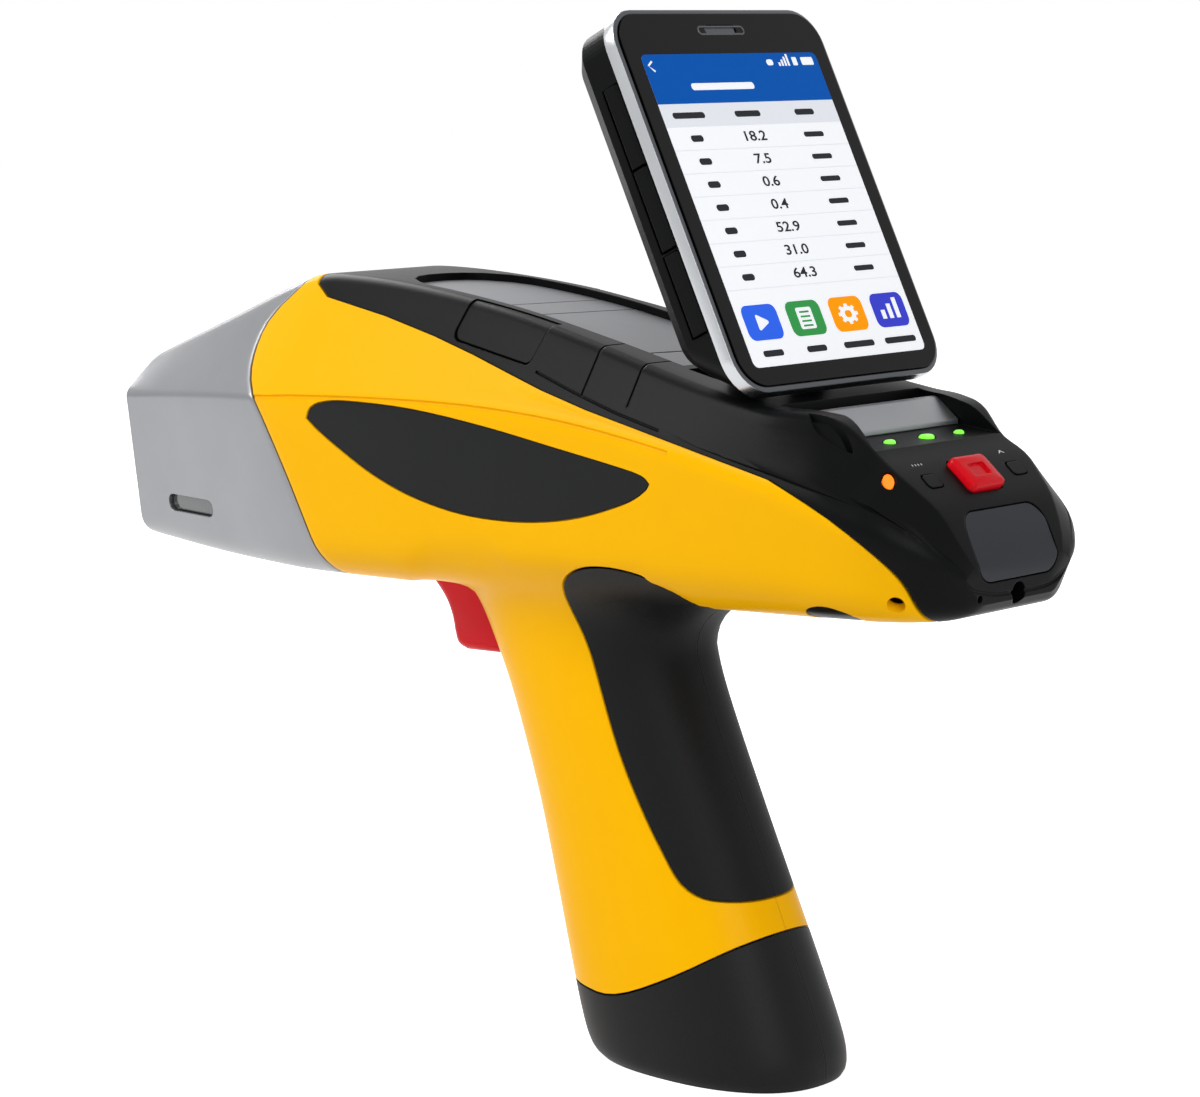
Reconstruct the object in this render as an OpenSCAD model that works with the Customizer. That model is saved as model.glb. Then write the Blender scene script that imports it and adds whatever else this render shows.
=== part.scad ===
// Handheld X-ray fluorescence analyzer.
// The nose points along -X, the user stands at +X, and the foot rests on Z = 0.

/* [Body] */
// Distance from the handle's reference plane forward to the nose face
nose_reach = 131; // [115:1:150]
// Distance from the reference plane back to the tail
tail_reach = 131; // [120:1:150]
// Height of the body's underside above the floor
under_z = 110; // [102:1:126]
// Height of the body from its underside to the highest point of the roof
body_h = 73; // [68:1:85]
// Greatest width of the body
body_w = 76; // [70:1:90]
// Wall thickness of the moulded shells
wall = 2.4; // [1.8:0.1:3]

/* [Handle] */
// Lean of the handle's axis from the vertical
handle_lean = 20; // [15:0.5:23]
// Where the handle's axis meets the floor
foot_x = 47; // [42:0.5:54]
// Depth of the handle, front to back, at its waist
handle_depth = 57; // [52:1:66]
// Width of the handle at its waist
handle_w = 40; // [38:1:50]
// Thickness of the rubber grip
grip_t = 1.6; // [1:0.1:2]
// Height of the foot at its front edge
foot_h = 17; // [12:1:20]

/* [Battery] */
// Depth of the battery pack, front to back
battery_d = 36; // [28:1:40]
// Width of the battery pack
battery_w = 27; // [22:1:29]
// Length of the battery pack
battery_len = 76; // [60:1:80]

/* [Display] */
// Width of the display
display_w = 74; // [66:1:80]
// Height of the display
display_h = 93; // [88:1:106]
// Thickness of the display's rear housing
display_back_t = 12.5; // [10:0.5:15]
// Thickness of the display's metal frame
display_frame_t = 3.2; // [2.5:0.1:4]
// Lean of the display from the vertical
display_lean = 26.5; // [20:0.5:35]
// Width of the lit screen
screen_w = 62; // [50:1:62]
// Height of the lit screen
screen_h = 76; // [60:1:78]
// Diameter of the display's hinge pin
hinge_pin_d = 4; // [3:0.5:5]

/* [Trigger] */
// Width of the trigger
trigger_w = 18; // [14:1:20]
// Swing of the trigger
trigger_swing = 7; // [4:1:8]
// Diameter of the trigger's pivot pin
trigger_pin_d = 3; // [2:0.5:4]

/* [Controls] */
// Width of the power button
power_w = 13.5; // [10:0.5:15]
// Length of the power button
power_len = 9.5; // [8:0.5:11]
// Width of each small button
key_w = 6; // [5:0.5:8]
// Length of each small button
key_len = 4.2; // [3:0.2:5]
// Half the distance between the small buttons
key_y = 15.5; // [13:0.5:18]
// Travel of the power button and of the small buttons
key_travel = 0.8; // [0.5:0.1:1.2]
// Length of each latch button
latch_len = 26; // [20:1:30]
// Travel of each latch button
latch_travel = 1.2; // [0.8:0.1:1.4]
// Width of the rear flap
flap_w = 29; // [24:1:31]
// Height of the rear flap
flap_h = 16; // [12:1:17]

/* [Nose] */
// Width of the measuring window's plate
window_w = 28; // [22:1:32]
// Height of the measuring window's plate
window_h = 22; // [18:1:26]
// Diameter of the measuring aperture
aperture_d = 9; // [6:1:12]
// Diameter of the X-ray tube
tube_d = 13; // [10:0.5:14]
// Diameter of the detector
detector_d = 14; // [10:0.5:15]
// Diameter of the filter wheel
wheel_d = 27; // [24:1:28]
// Number of filters in the wheel
filters = 6; // [4:1:8]

/* [Fits] */
// Gap along the seams between the moulded shells
seam = 0.2; // [0.1:0.05:0.4]
// Gap round each button and flap
button_gap = 0.35; // [0.25:0.05:0.5]
// Radial clearance of a pin in a running bore
running = 0.05; // [0.02:0.01:0.1]

/* [Hidden] */
far = 400;
sliver = 0.01;
smooth_fn = 48;
$fn = smooth_fn;

// --- Plain helpers ---------------------------------------------------------

function lerp(a, b, t) = a + (b - a) * t;
function unit(v) = v / norm(v);
function last(v) = v[len(v) - 1];

// Index of the table row that x lies after
function row_before(t, x, i = 0) = i >= len(t) - 2 || x < t[i + 1][0] ? i : row_before(t, x, i + 1);
function row_slope(t, i, k) =
  let(a = max(i - 1, 0), b = min(i + 1, len(t) - 1)) (t[b][k] - t[a][k]) / (t[b][0] - t[a][0]);

// Smooth value of column k at x, through the rows of a table
function smooth(t, k, x) =
  let(i = row_before(t, x), h = t[i + 1][0] - t[i][0], u = min(max((x - t[i][0]) / h, 0), 1))
  let(a = t[i][k], b = t[i + 1][k], m = row_slope(t, i, k) * h, n = row_slope(t, i + 1, k) * h)
  a * (1 + 2 * u) * (1 - u) * (1 - u) + m * u * (1 - u) * (1 - u)
    + b * u * u * (3 - 2 * u) - n * u * u * (1 - u);

// Open curve through points, with n steps between each pair
function spline(p, n) = concat(
  [for (i = [0:len(p) - 2], j = [0:n - 1])
    let(a = p[max(i - 1, 0)], b = p[i], c = p[i + 1], d = p[min(i + 2, len(p) - 1)], u = j / n)
    b + (c - a) / 2 * u + (2 * a - 5 * b + 4 * c - d) / 2 * u * u
      + (3 * b - a - 3 * c + d) / 2 * u * u * u],
  [last(p)]);

// Outward normal of the edge from a to b of an anticlockwise outline
function edge_normal(a, b) = unit([b[1] - a[1], a[0] - b[0]]);

// Outline with rounded corners, moved inwards by inset; k steps round each corner
function rounded(p, r, inset, k) = [for (i = [0:len(p) - 1])
  let(a = p[(i + len(p) - 1) % len(p)], b = p[i], c = p[(i + 1) % len(p)])
  let(m = edge_normal(a, b), n = edge_normal(b, c), s = max(r[i] - inset, 0.4))
  let(o = b - (inset + s) * (m + n) / (1 + m * n))
  let(t0 = atan2(m[1], m[0]), t1 = atan2(n[1], n[0]), t2 = t1 < t0 ? t1 + 360 : t1)
  for (j = [0:k]) o + s * [cos(lerp(t0, t2, j / k)), sin(lerp(t0, t2, j / k))]];

// Side view (X, Z) outline made into a slab across the body, from y0 to y1
module across(y0, y1) translate([0, y1, 0]) rotate([90, 0, 0]) linear_extrude(y1 - y0) children();

// Exact rectangle with round corners
module round_rect(w, h, r) {
  square([w - 2 * r, h], center = true);
  square([w, h - 2 * r], center = true);
  for (x = [-1, 1], y = [-1, 1]) translate([x * (w / 2 - r), y * (h / 2 - r)]) circle(r);
}

// Convex solid between two loops of as many points
module span(a, b) {
  n = len(a);
  hull() polyhedron(concat(a, b), concat([[for (i = [0:n - 1]) i]], [[for (i = [0:n - 1]) 2 * n - 1 - i]],
    [for (i = [0:n - 1]) [i, n + i, n + (i + 1) % n, (i + 1) % n]]));
}

// --- Body form -------------------------------------------------------------

// Drawn size of the body, which the driving sizes stretch
drawn_nose = 131;
drawn_tail = 131;
drawn_h = 73;
drawn_w = 76;
crease_r = 7;
roof_r = 4.5;
corner_steps = 3;

// Sections of the body: place along X, heights of floor, crease and roof above the underside,
// half-widths at floor, crease and roof, and corner radius at the floor
SECTIONS = [
  [-131, 2, 39.5, 47.5, 23.6, 28.8, 19, 6],
  [-127.5, 1.4, 39.5, 49.5, 24, 29.2, 19.2, 7],
  [-100, 0, 41.5, 60.5, 28, 32.6, 19.2, 8],
  [-72, -0.8, 43, 71.5, 31.6, 36.2, 19.5, 10],
  [-60, -0.8, 44, 73, 32.6, 37, 20.5, 11],
  [-30, -0.2, 45.5, 71.5, 33.4, 37.8, 22, 13],
  [0, 0.3, 46, 67.8, 33.6, 38, 24, 15],
  [30, 1.3, 44.5, 62, 33.6, 38, 26.5, 15],
  [60, 3, 40.5, 55.5, 33.2, 38, 29.5, 15],
  [85, 4.3, 35.5, 51.2, 32.2, 37.8, 31, 14],
  [95, 4.8, 33.5, 50.5, 31.4, 37.6, 28.5, 13],
  [102, 5.2, 32, 48.8, 30.6, 37.4, 26, 12],
  [109, 5.6, 30, 43, 29.4, 37, 23.5, 11],
  [115, 6, 28, 39.2, 27.6, 36, 24.2, 10],
  [120, 6.4, 26, 35.2, 25, 34, 22.6, 9],
  [125, 7, 23.5, 30.4, 21.5, 30.2, 20.6, 8],
  [129, 8.4, 20, 23.5, 17, 25, 18.6, 6],
  [131, 10.5, 17, 19, 13.5, 20, 16.5, 4]];

function along(x) = x < 0 ? x * nose_reach / drawn_nose : x * tail_reach / drawn_tail;
function drawn(x) = x < 0 ? x * drawn_nose / nose_reach : x * drawn_tail / tail_reach;
function above(z) = under_z + z * body_h / drawn_h;
function wide(y) = y * body_w / drawn_w;
// Point of a side-view outline, from its drawn place
function at(p) = [along(p[0]), above(p[1])];

function floor_z(x) = above(smooth(SECTIONS, 1, drawn(x)));
function crease_z(x) = above(smooth(SECTIONS, 2, drawn(x)));
function roof_z(x) = above(smooth(SECTIONS, 3, drawn(x)));
function floor_y(x) = wide(smooth(SECTIONS, 4, drawn(x)));
function crease_y(x) = wide(smooth(SECTIONS, 5, drawn(x)));
function roof_y(x) = wide(smooth(SECTIONS, 6, drawn(x)));
function floor_r(x) = smooth(SECTIONS, 7, drawn(x));
// Slope of the roof at x, as an angle below the horizontal towards the tail
function roof_fall(x) = atan2(roof_z(x - 1) - roof_z(x + 1), 2);

function body_ring(x, inset) =
  let(f = [floor_y(x), floor_z(x)], c = [crease_y(x), crease_z(x)], r = [roof_y(x), roof_z(x)])
  rounded([[f[0], f[1]], c, r, [-r[0], r[1]], [-c[0], c[1]], [-f[0], f[1]]],
    [floor_r(x), crease_r, roof_r, roof_r, crease_r, floor_r(x)], inset, corner_steps);

function body_loop(x, inset) = [for (p = body_ring(x, inset)) [x, p[0], p[1]]];

// The body's form between two drawn places, with its skin moved inwards by inset
module body(inset = 0, from = -drawn_nose, to = drawn_tail) {
  inner = [for (s = SECTIONS) if (s[0] > from + 1 && s[0] < to - 1) s[0]];
  places = concat([from], inner, [to]);
  ends = [for (p = places) min(max(along(p), inset - nose_reach), tail_reach - inset)];
  for (i = [0:len(ends) - 2]) if (ends[i + 1] > ends[i] + sliver)
    span(body_loop(ends[i], inset), body_loop(ends[i + 1], inset));
}

// --- Handle form -----------------------------------------------------------

// Reach of the handle ahead of and behind its axis, and its half-width, by height above the floor
drawn_under = 110;
drawn_depth = 57;
drawn_width = 40;
HANDLE = [
  [0, 31, 31, 21.4],
  [2, 32.6, 32.6, 22.8],
  [8, 33.4, 34, 23],
  [24, 32.6, 33.4, 22],
  [40, 31.4, 32, 20.9],
  [60, 30, 30, 20],
  [83, 29.6, 27.6, 20],
  [94, 30.4, 27.2, 20.4],
  [102, 31.4, 28.6, 21.4],
  [106.5, 32, 32, 22.6],
  [110, 33, 41, 25],
  [117, 35, 58, 27]];

function handle_axis(z) = foot_x - z * tan(handle_lean);
function handle_front(z) = smooth(HANDLE, 1, z * drawn_under / under_z) * handle_depth / drawn_depth;
function handle_back(z) = smooth(HANDLE, 2, z * drawn_under / under_z) * handle_depth / drawn_depth;
function handle_side(z) = smooth(HANDLE, 3, z * drawn_under / under_z) * handle_w / drawn_width;

// Squared-off oval section of the handle
oval_power = 2.35;
handle_step = 15;
function powered(c) = sign(c) * pow(abs(c), 2 / oval_power);
function handle_ring(z, inset) =
  let(f = handle_front(z) - inset, b = handle_back(z) - inset, s = handle_side(z) - inset)
  [for (a = [0:handle_step:360 - handle_step]) [handle_axis(z) + (b - f) / 2 + (b + f) / 2 * powered(cos(a)), s * powered(sin(a))]];

function handle_loop(z, inset) = [for (p = handle_ring(z, inset)) [p[0], p[1], z]];

module handle(inset = 0, from = 0, to = 117) {
  levels = [for (h = HANDLE) if (h[0] >= from && h[0] <= to) h[0] * under_z / drawn_under];
  ends = [for (z = levels) max(z, inset)];
  for (i = [0:len(ends) - 2]) if (ends[i + 1] > ends[i] + sliver)
    span(handle_loop(ends[i], inset), handle_loop(ends[i + 1], inset));
}

// --- Seams, drawn in side view ---------------------------------------------

nose_seam = [for (p = spline([[-68, 80], [-72, 71], [-81, 62], [-82.5, 55], [-80, 48], [-75, 42.5],
  [-66, 27], [-59, 13], [-53, 0], [-50, -8]], 3)) at(p)];
cover_seam = [for (p = spline([[-66, 80], [-62, 71], [-50, 67.5], [-13, 59.5], [25, 50], [50, 45],
  [78, 40.5], [99, 33], [112, 26], [120, 18], [122.5, 9], [123, -2]], 3)) at(p)];
foot_seam = [for (p = spline([[-10, 0], [18, 0], [33, 0.8], [50, 8], [66, 17.5], [77, 22.5],
  [110, 26]], 3)) [p[0] * handle_depth / drawn_depth, p[1] + foot_h]];
grip_edge = spline([[88, 43], [62, 42.5], [51, 45], [43.5, 54], [36, 66], [30, 78], [24, 94],
  [20.5, 108], [23, 115.5], [29, 119], [36, 120]], 3);

module nose_side() polygon(concat(nose_seam, [[-far, under_z - 8], [-far, under_z + 150]]));
module cover_side() polygon(concat(cover_seam, [[far, under_z - 2], [far, far], [-66, far]]));
module foot_side() polygon(concat(foot_seam, [[far, -far], [-far, -far], [-far, foot_h]]));
module grip_side() polygon([for (p = concat(grip_edge, [[110, 120], [110, 43]]))
  [foot_x + (p[0] - foot_x) * handle_depth / drawn_depth, p[1] * under_z / drawn_under]]);

// --- Cavities and cut-outs of the shells ------------------------------------

// The seam surfaces as solids, grown by a gap
module nose_zone(gap = 0) across(-far, far) offset(delta = gap) nose_side();
module cover_zone(gap = 0) across(-far, far) offset(delta = gap) cover_side();
module foot_zone(gap = 0) across(-far, far) offset(delta = gap) foot_side();

// Display hinge axis, sunk below the roof
hinge_x = along(62.6);
hinge_sink = 5;
hinge_z = roof_z(hinge_x) - hinge_sink;
knuckle_r = hinge_pin_d / 2 + 1.8;
well_half = 20;
well_floor = hinge_z - knuckle_r - 2.6;
well_front = hinge_x - 9.5;
well_back = hinge_x + 15;
// Sloping dip behind the display, down to the row of status lights
dip_front = along(84);
bar_top = along(90);
bar_foot = along(99);
dip_back = along(109);
dip_half = wide(24.5);

module well_side(grow) polygon([[well_front - grow, far], [well_front - grow, well_floor - grow],
  [well_back + grow, well_floor - grow], [well_back + grow, far]]);
module dip_side(grow) polygon([[dip_front - grow, far], [dip_front - grow, roof_z(bar_foot) - 5.4 - grow],
  [bar_foot, roof_z(bar_foot) - 5.4 - grow], [dip_back + grow, roof_z(dip_back) - grow],
  [dip_back + grow, far]]);

// The dip narrows towards the foot of the bar
module dip_plan(grow) {
  half = [[dip_front - grow, dip_half + 0.8 + grow], [bar_foot, dip_half - 3.6 + grow],
    [dip_back + grow, dip_half - 1.6 + grow]];
  linear_extrude(far) polygon(concat(half, [for (i = [2:-1:0]) [half[i][0], -half[i][1]]]));
}

// Pockets that the roof carries: the hinge well and the dip
module roof_pockets(grow = 0) {
  across(-well_half - grow, well_half + grow) well_side(grow);
  intersection() {
    across(-far, far) dip_side(grow);
    dip_plan(grow);
  }
}

// Long shallow recess in the roof, for the inlay
inlay_front = along(-42);
inlay_back = well_front - wall;
inlay_depth = 1.8;
inlay_t = 1;
module inlay_plan(grow = 0) {
  translate([0, 0, above(30)]) linear_extrude(far) polygon([[inlay_front - grow, -13 - grow], [inlay_front + 6, -16.5 - grow],
    [inlay_back + grow, -18.5 - grow], [inlay_back + grow, 18.5 + grow],
    [inlay_front + 6, 16.5 + grow], [inlay_front - grow, 13 + grow]]);
}

// Everything hollow inside the shells
module cavity() {
  difference() {
    body(wall);
    roof_pockets(wall);
    intersection() {
      inlay_plan(wall);
      difference() {
        body(0);
        body(inlay_depth + inlay_t + wall, -60, 80);
      }
    }
  }
  handle(wall, 2);
}

// --- Screw bosses -----------------------------------------------------------

boss_r = 3.2;
screw_r = 1.25;
screw_head_r = 2.6;
chassis_z = under_z + 12;
boss_places = [for (x = [-46, 60, 84]) [along(x), chassis_z - boss_r - 0.1]];

head_sink = 6;
module boss(p, side, r, reach = 0)
  translate([p[0], 0, p[1]]) rotate([90 * side, 0, 0]) cylinder(h = floor_y(p[0]) + reach, r = r);

// --- Shell halves -----------------------------------------------------------

badge_t = 0.9;
badge_outline = concat(
  spline([[-55, 39], [-53.4, 41.6], [-49, 43.4], [-40, 44.3], [-18, 44], [6, 41.6], [28, 38.4], [47, 35.6],
    [54, 34.2], [56.2, 32.6]], 2),
  spline([[56.2, 32.6], [54.4, 30.6], [48, 27.2], [34, 22.8], [20, 20.4], [6, 19.7], [-7, 20.4], [-21, 23],
    [-33, 27], [-43, 31.8], [-51, 36.2], [-55, 39]], 2));
module badge_prism(side, grow = 0)
  across(side < 0 ? -body_w : 10, side < 0 ? -10 : body_w)
    offset(delta = grow) polygon([for (p = badge_outline) at(p)]);

trigger_slot_gap = 0.6;
trigger_pivot = [along(-13), under_z + 5];
trigger_slot = [[-46.5, 5], [-45.5, -3], [-33, -19], [-4, -22], [2, -8], [2, 5]];
rib_t = 3;
spring_w = 1.6;
rib_y = trigger_w / 2 + spring_w + 0.2;
// Ribs that carry the ends of the trigger's pivot pin
module trigger_ribs(side) translate([trigger_pivot[0], 0, 0]) across(side > 0 ? rib_y : -rib_y - rib_t, side > 0 ? rib_y + rib_t : -rib_y)
  polygon([[-7, under_z + 0.5], [7, under_z + 0.5], [4.5, trigger_pivot[1] + 3.4], [-4.5, trigger_pivot[1] + 3.4]]);

module trigger_opening() across(-trigger_w / 2 - trigger_slot_gap, trigger_w / 2 + trigger_slot_gap)
  polygon([for (p = trigger_slot) [along(p[0]), under_z + p[1]]]);

lens_x = along(99);
rear_hole_x = along(112);

module shell(side) {
  difference() {
    union() {
      body(0);
      handle(0);
    }
    difference() {
      cavity();
      for (p = boss_places) boss(p, -side, boss_r, 2);
      trigger_ribs(side);
    }
    across(side < 0 ? 0 : -far, side < 0 ? far : 0) square(far * 2, center = true);
    nose_zone(seam / 2);
    cover_zone(seam / 2);
    roof_pockets(wall + seam);
    inlay_plan(wall + seam);
    foot_zone(seam / 2);
    difference() {
      across(-far, far) offset(delta = seam / 2) grip_side();
      handle(grip_t);
      body(wall / 2);
    }
    difference() {
      badge_prism(side, seam / 2);
      body(badge_t);
    }
    trigger_opening();
    trigger_pin_hole();
    for (p = boss_places) {
      boss(p, -side, screw_r, -head_sink);
      if (side > 0)
        translate([p[0], floor_y(p[0]) - head_sink, p[1]]) rotate([-90, 0, 0]) cylinder(h = far, r = screw_head_r);
    }
    underside_cuts(side);
  }
}

module trigger_pin_hole() translate([trigger_pivot[0], 0, trigger_pivot[1]]) rotate([90, 0, 0])
  cylinder(h = (rib_y + rib_t) * 2 + 1, r = trigger_pin_d / 2 + 0.08, center = true);

// Oval window and screw recess in the rear of the underside
module underside_cuts(side) {
  translate([lens_x, side * wide(21), above(0)]) scale([1.9, 1, 1]) cylinder(h = 20, r = 3.4, center = true);
  translate([rear_hole_x, side * wide(20), above(0)]) cylinder(h = 30, r = 2.2, center = true);
}

module left_shell() color("gold") shell(-1);
module right_shell() color("gold") shell(1);

// --- Badges, grips, foot ----------------------------------------------------

module badge(side) intersection() {
  badge_prism(side, -seam / 2);
  difference() {
    body(0.1, -72, 95);
    body(badge_t - 0.05, -72, 95);
  }
}
module left_badge() color("#262626") badge(-1);
module right_badge() color("#262626") badge(1);

module grip(side) intersection() {
  across(side < 0 ? -far : 0, side < 0 ? 0 : far) offset(delta = -seam / 2) grip_side();
  difference() {
    handle(0, 24);
    handle(grip_t - 0.05, 24);
    body(wall / 2 - 0.05, -60, 100);
  }
}
module left_grip() color("#242424") grip(-1);
module right_grip() color("#242424") grip(1);

foot_floor = 3;
module foot(side) difference() {
  handle(0, 0, 60);
  difference() {
    handle(wall, 0, 60);
    translate([0, 0, -far + foot_floor]) cube(far * 2, center = true);
  }
  across(-far, far) offset(delta = seam / 2) polygon(concat(foot_seam, [[far, far], [-far, far]]));
  across(side < 0 ? 0 : -far, side < 0 ? far : 0) square(far * 2, center = true);
}
module left_foot() color("#1f1f1f") foot(-1);
module right_foot() color("#1f1f1f") foot(1);

// The battery slides out of the handle along its axis
module along_handle(z) translate([handle_axis(z), 0, z]) rotate([0, -handle_lean, 0]) children();

battery_corner = 6;
battery_seat = foot_floor / cos(handle_lean) + battery_d / 2 * tan(handle_lean) + 0.3;
module battery_pack() color("#3a3f45") along_handle(battery_seat)
  difference() {
    linear_extrude(battery_len) round_rect(battery_d, battery_w, battery_corner);
    for (y = [-6, 0, 6]) translate([0, y, battery_len]) cube([9, 2.4, 1.6], center = true);
  }

contact_t = 3;
module battery_contacts() color("peru") along_handle(battery_seat) translate([0, 0, battery_len + 0.5]) {
  linear_extrude(contact_t) square([22, (handle_side(80) - wall) * 2 - 3.2], center = true);
  for (y = [-6, 0, 6]) translate([0, y, -0.6]) cube([7, 1.6, 1.4], center = true);
}

// --- Nose --------------------------------------------------------------------

window_z = above(27);
plate_t = 2.6;
light_x = along(-110);
light_z = above(11.5);
light_len = 16;
light_h = 4.6;

module light_slot(grow) translate([light_x, 0, light_z]) rotate([90, 0, 0]) linear_extrude(far, center = true)
  offset(r = light_h / 2 - 0.5) square([light_len - light_h + grow * 2, 1 + grow * 2], center = true);

module window_hole(grow) translate([-nose_reach, 0, window_z]) rotate([90, 0, 90])
  linear_extrude(wall * 4, center = true) offset(r = 3) square([window_w - 6 + grow * 2, window_h - 6 + grow * 2], center = true);

module nose_cover() color("#a9aaab") difference() {
  intersection() {
    body(0, -drawn_nose, -40);
    across(-far, far) offset(delta = -seam / 2) nose_side();
  }
  body(wall, -drawn_nose, -40);
  window_hole(0);
  difference() {
    light_slot(0);
    cube([far * 2, (floor_y(light_x) - 8) * 2, far * 2], center = true);
  }
}

// Stepped plate: its rim lies inside the nose, its middle fills the opening
module window_plate() color("#303234") translate([-nose_reach, 0, window_z]) rotate([90, 0, 90])
  difference() {
    union() {
      translate([0, 0, 0.8]) linear_extrude(wall) round_rect(window_w - seam * 2, window_h - seam * 2, 3);
      translate([0, 0, wall + 0.15]) linear_extrude(plate_t) round_rect(window_w + 6, window_h + 5, 4);
    }
    translate([0, 0, -1]) cylinder(h = 20, r = aperture_d / 2);
    translate([0, 0, -1]) cylinder(h = 1.8 + 0.35, r = aperture_d / 2 + 2);
  }

module window_film() color("#d8d3c4") translate([-nose_reach + 0.85, 0, window_z]) rotate([0, 90, 0])
  cylinder(h = 0.3, r = aperture_d / 2 + 1.8);

module warning_lights() color("#dfe3e6") intersection() {
  light_slot(-0.25);
  difference() {
    body(0.9, -drawn_nose, -80);
    body(wall, -drawn_nose, -80);
  }
  cube([far * 2, far, far * 2], center = true);
}

// --- Roof cover ----------------------------------------------------------------

latch_x = along(2);
latch_inner = wide(21.2);
latch_drop = 9;
// Block that a latch button fills, with room on its inner side for its travel
module latch_prism(side, grow, travel) translate([latch_x, 0, roof_z(latch_x)])
  rotate([0, roof_fall(latch_x), 0]) translate([-latch_len / 2 - grow, side < 0 ? -far : latch_inner - travel, -latch_drop - grow])
    cube([latch_len + grow * 2, far - latch_inner + travel, far]);

// Tail frame: origin on the roof's centre line at drawn place p, local Z out of the surface
module on_roof(p) translate([along(p), 0, roof_z(along(p))]) rotate([0, roof_fall(along(p)), 0]) children();

light_row = 105;
light_ys = [-12.6, 0, 12.6];
side_light = 113;
side_light_y = wide(27);
power_place = 118.4;
flap_place = 128.6;
key_place = 118.4;
flap_edge = 3.5;

module power_prism(grow) on_roof(power_place) translate([0, 0, -8]) linear_extrude(20)
  square([power_len + grow * 2, power_w + grow * 2], center = true);
module key_prism(side, grow) on_roof(key_place) translate([0, side * key_y, -8]) linear_extrude(20)
  square([key_len + grow * 2, key_w + grow * 2], center = true);
module flap_prism(grow) translate([tail_reach, 0, flap_z]) rotate([0, 90, 0]) linear_extrude(40, center = true)
  offset(r = flap_edge) square([flap_h - flap_edge * 2 + grow * 2, flap_w - flap_edge * 2 + grow * 2], center = true);
flap_z = above(22.6);
flap_t = 1.8;
jack_y = 0;
jack_z = above(12.8);
jack_r = 3.6;

module side_light_prism(side, r) translate([along(side_light), side * side_light_y, above(30)])
  rotate([side * -38, 20, 0]) cylinder(h = 26, r = r);

module top_cover() color("#1f2023") difference() {
  intersection() {
    body(0, -72, drawn_tail);
    union() {
      across(-far, far) offset(delta = -seam / 2) cover_side();
      roof_pockets(wall);
    }
  }
  cavity();
  roof_pockets();
  difference() {
    inlay_plan();
    body(inlay_depth + inlay_t, -60, 80);
  }
  for (side = [-1, 1]) {
    latch_prism(side, button_gap, latch_travel + button_gap);
    key_prism(side, button_gap);
    side_light_prism(side, 2.4);
  }
  power_prism(button_gap);
  difference() {
    flap_prism(button_gap);
    body(flap_t + 0.3, 80, drawn_tail);
  }
  for (y = socket_ys) translate([tail_reach, y, socket_z])
    cube([20, socket_size[1] - 1.4, socket_size[2] - 1], center = true);
  for (y = light_ys) on_roof(light_row) translate([0, y, -6]) cylinder(h = 12, r = 1.5);
  translate([tail_reach, jack_y, jack_z]) rotate([0, 90, 0]) cylinder(h = 20, r = jack_r, center = true);
}

module deck_inlay() color("#8b8b8b") intersection() {
  inlay_plan(-seam);
  difference() {
    body(inlay_depth, -60, 80);
    body(inlay_depth + inlay_t - 0.05, -60, 80);
  }
}

well_plate_t = 1.2;
module hinge_well_plate() color("#2a2b2d") translate([(well_front + well_back) / 2, 0, well_floor + 0.05])
  linear_extrude(well_plate_t) round_rect(well_back - well_front - 0.6, well_half * 2 - 0.6, 2);

bar_half = dip_half + 0.5;
module hinge_bar() color("#9a9c9e") intersection() {
  across(-far, far) polygon([[dip_front + 3, roof_z(bar_foot) - 5.3], [dip_front + 3, roof_z(bar_top) - 3.2],
    [bar_top - 1.5, roof_z(bar_top) - 1], [bar_top + 0.8, roof_z(bar_top) - 1.2],
    [bar_foot, roof_z(bar_foot) - 4.2], [bar_foot, roof_z(bar_foot) - 5.3]]);
  linear_extrude(far) polygon([[dip_front, -bar_half + 1], [bar_foot, -bar_half + 4.5],
    [bar_foot, bar_half - 4.5], [dip_front, bar_half - 1]]);
}

module status_lights() color("#8fe04a") for (y = light_ys)
  on_roof(light_row) translate([0, y, -3]) cylinder(h = 3, r = 1.4);

module side_lights() color("orange") intersection() {
  for (side = [-1, 1]) side_light_prism(side, 2.2);
  difference() {
    body(0, 95, drawn_tail);
    body(wall, 95, drawn_tail);
  }
}

// --- Buttons and flap ------------------------------------------------------------

module power_button() color("#e3182a") intersection() {
  power_prism(0);
  difference() {
    translate([0.9, 0, 0.9]) body(0, 85, drawn_tail);
    body(3, 85, drawn_tail);
  }
}
module key(side) intersection() {
  key_prism(side, 0);
  difference() {
    translate([0.2, 0, 0.2]) body(0, 85, drawn_tail);
    body(3, 85, drawn_tail);
  }
}
module left_key() color("#2a2c31") key(-1);
module right_key() color("#2a2c31") key(1);

module latch(side) intersection() {
  latch_prism(side, 0, 0);
  difference() {
    body(0, -60, 60);
    body(wall, -60, 60);
  }
}
module left_latch() color("#1c1c1e") latch(-1);
module right_latch() color("#1c1c1e") latch(1);

module port_flap() color("#2c2f36") intersection() {
  flap_prism(0);
  difference() {
    body(0, 95, drawn_tail);
    body(flap_t, 95, drawn_tail);
  }
}

// --- Display -----------------------------------------------------------------------

// Display frame: origin on the hinge axis, local -X up the screen, local Z out of the screen
module in_display() translate([hinge_x, 0, hinge_z]) rotate([0, 90 - display_lean, 0]) children();

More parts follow.
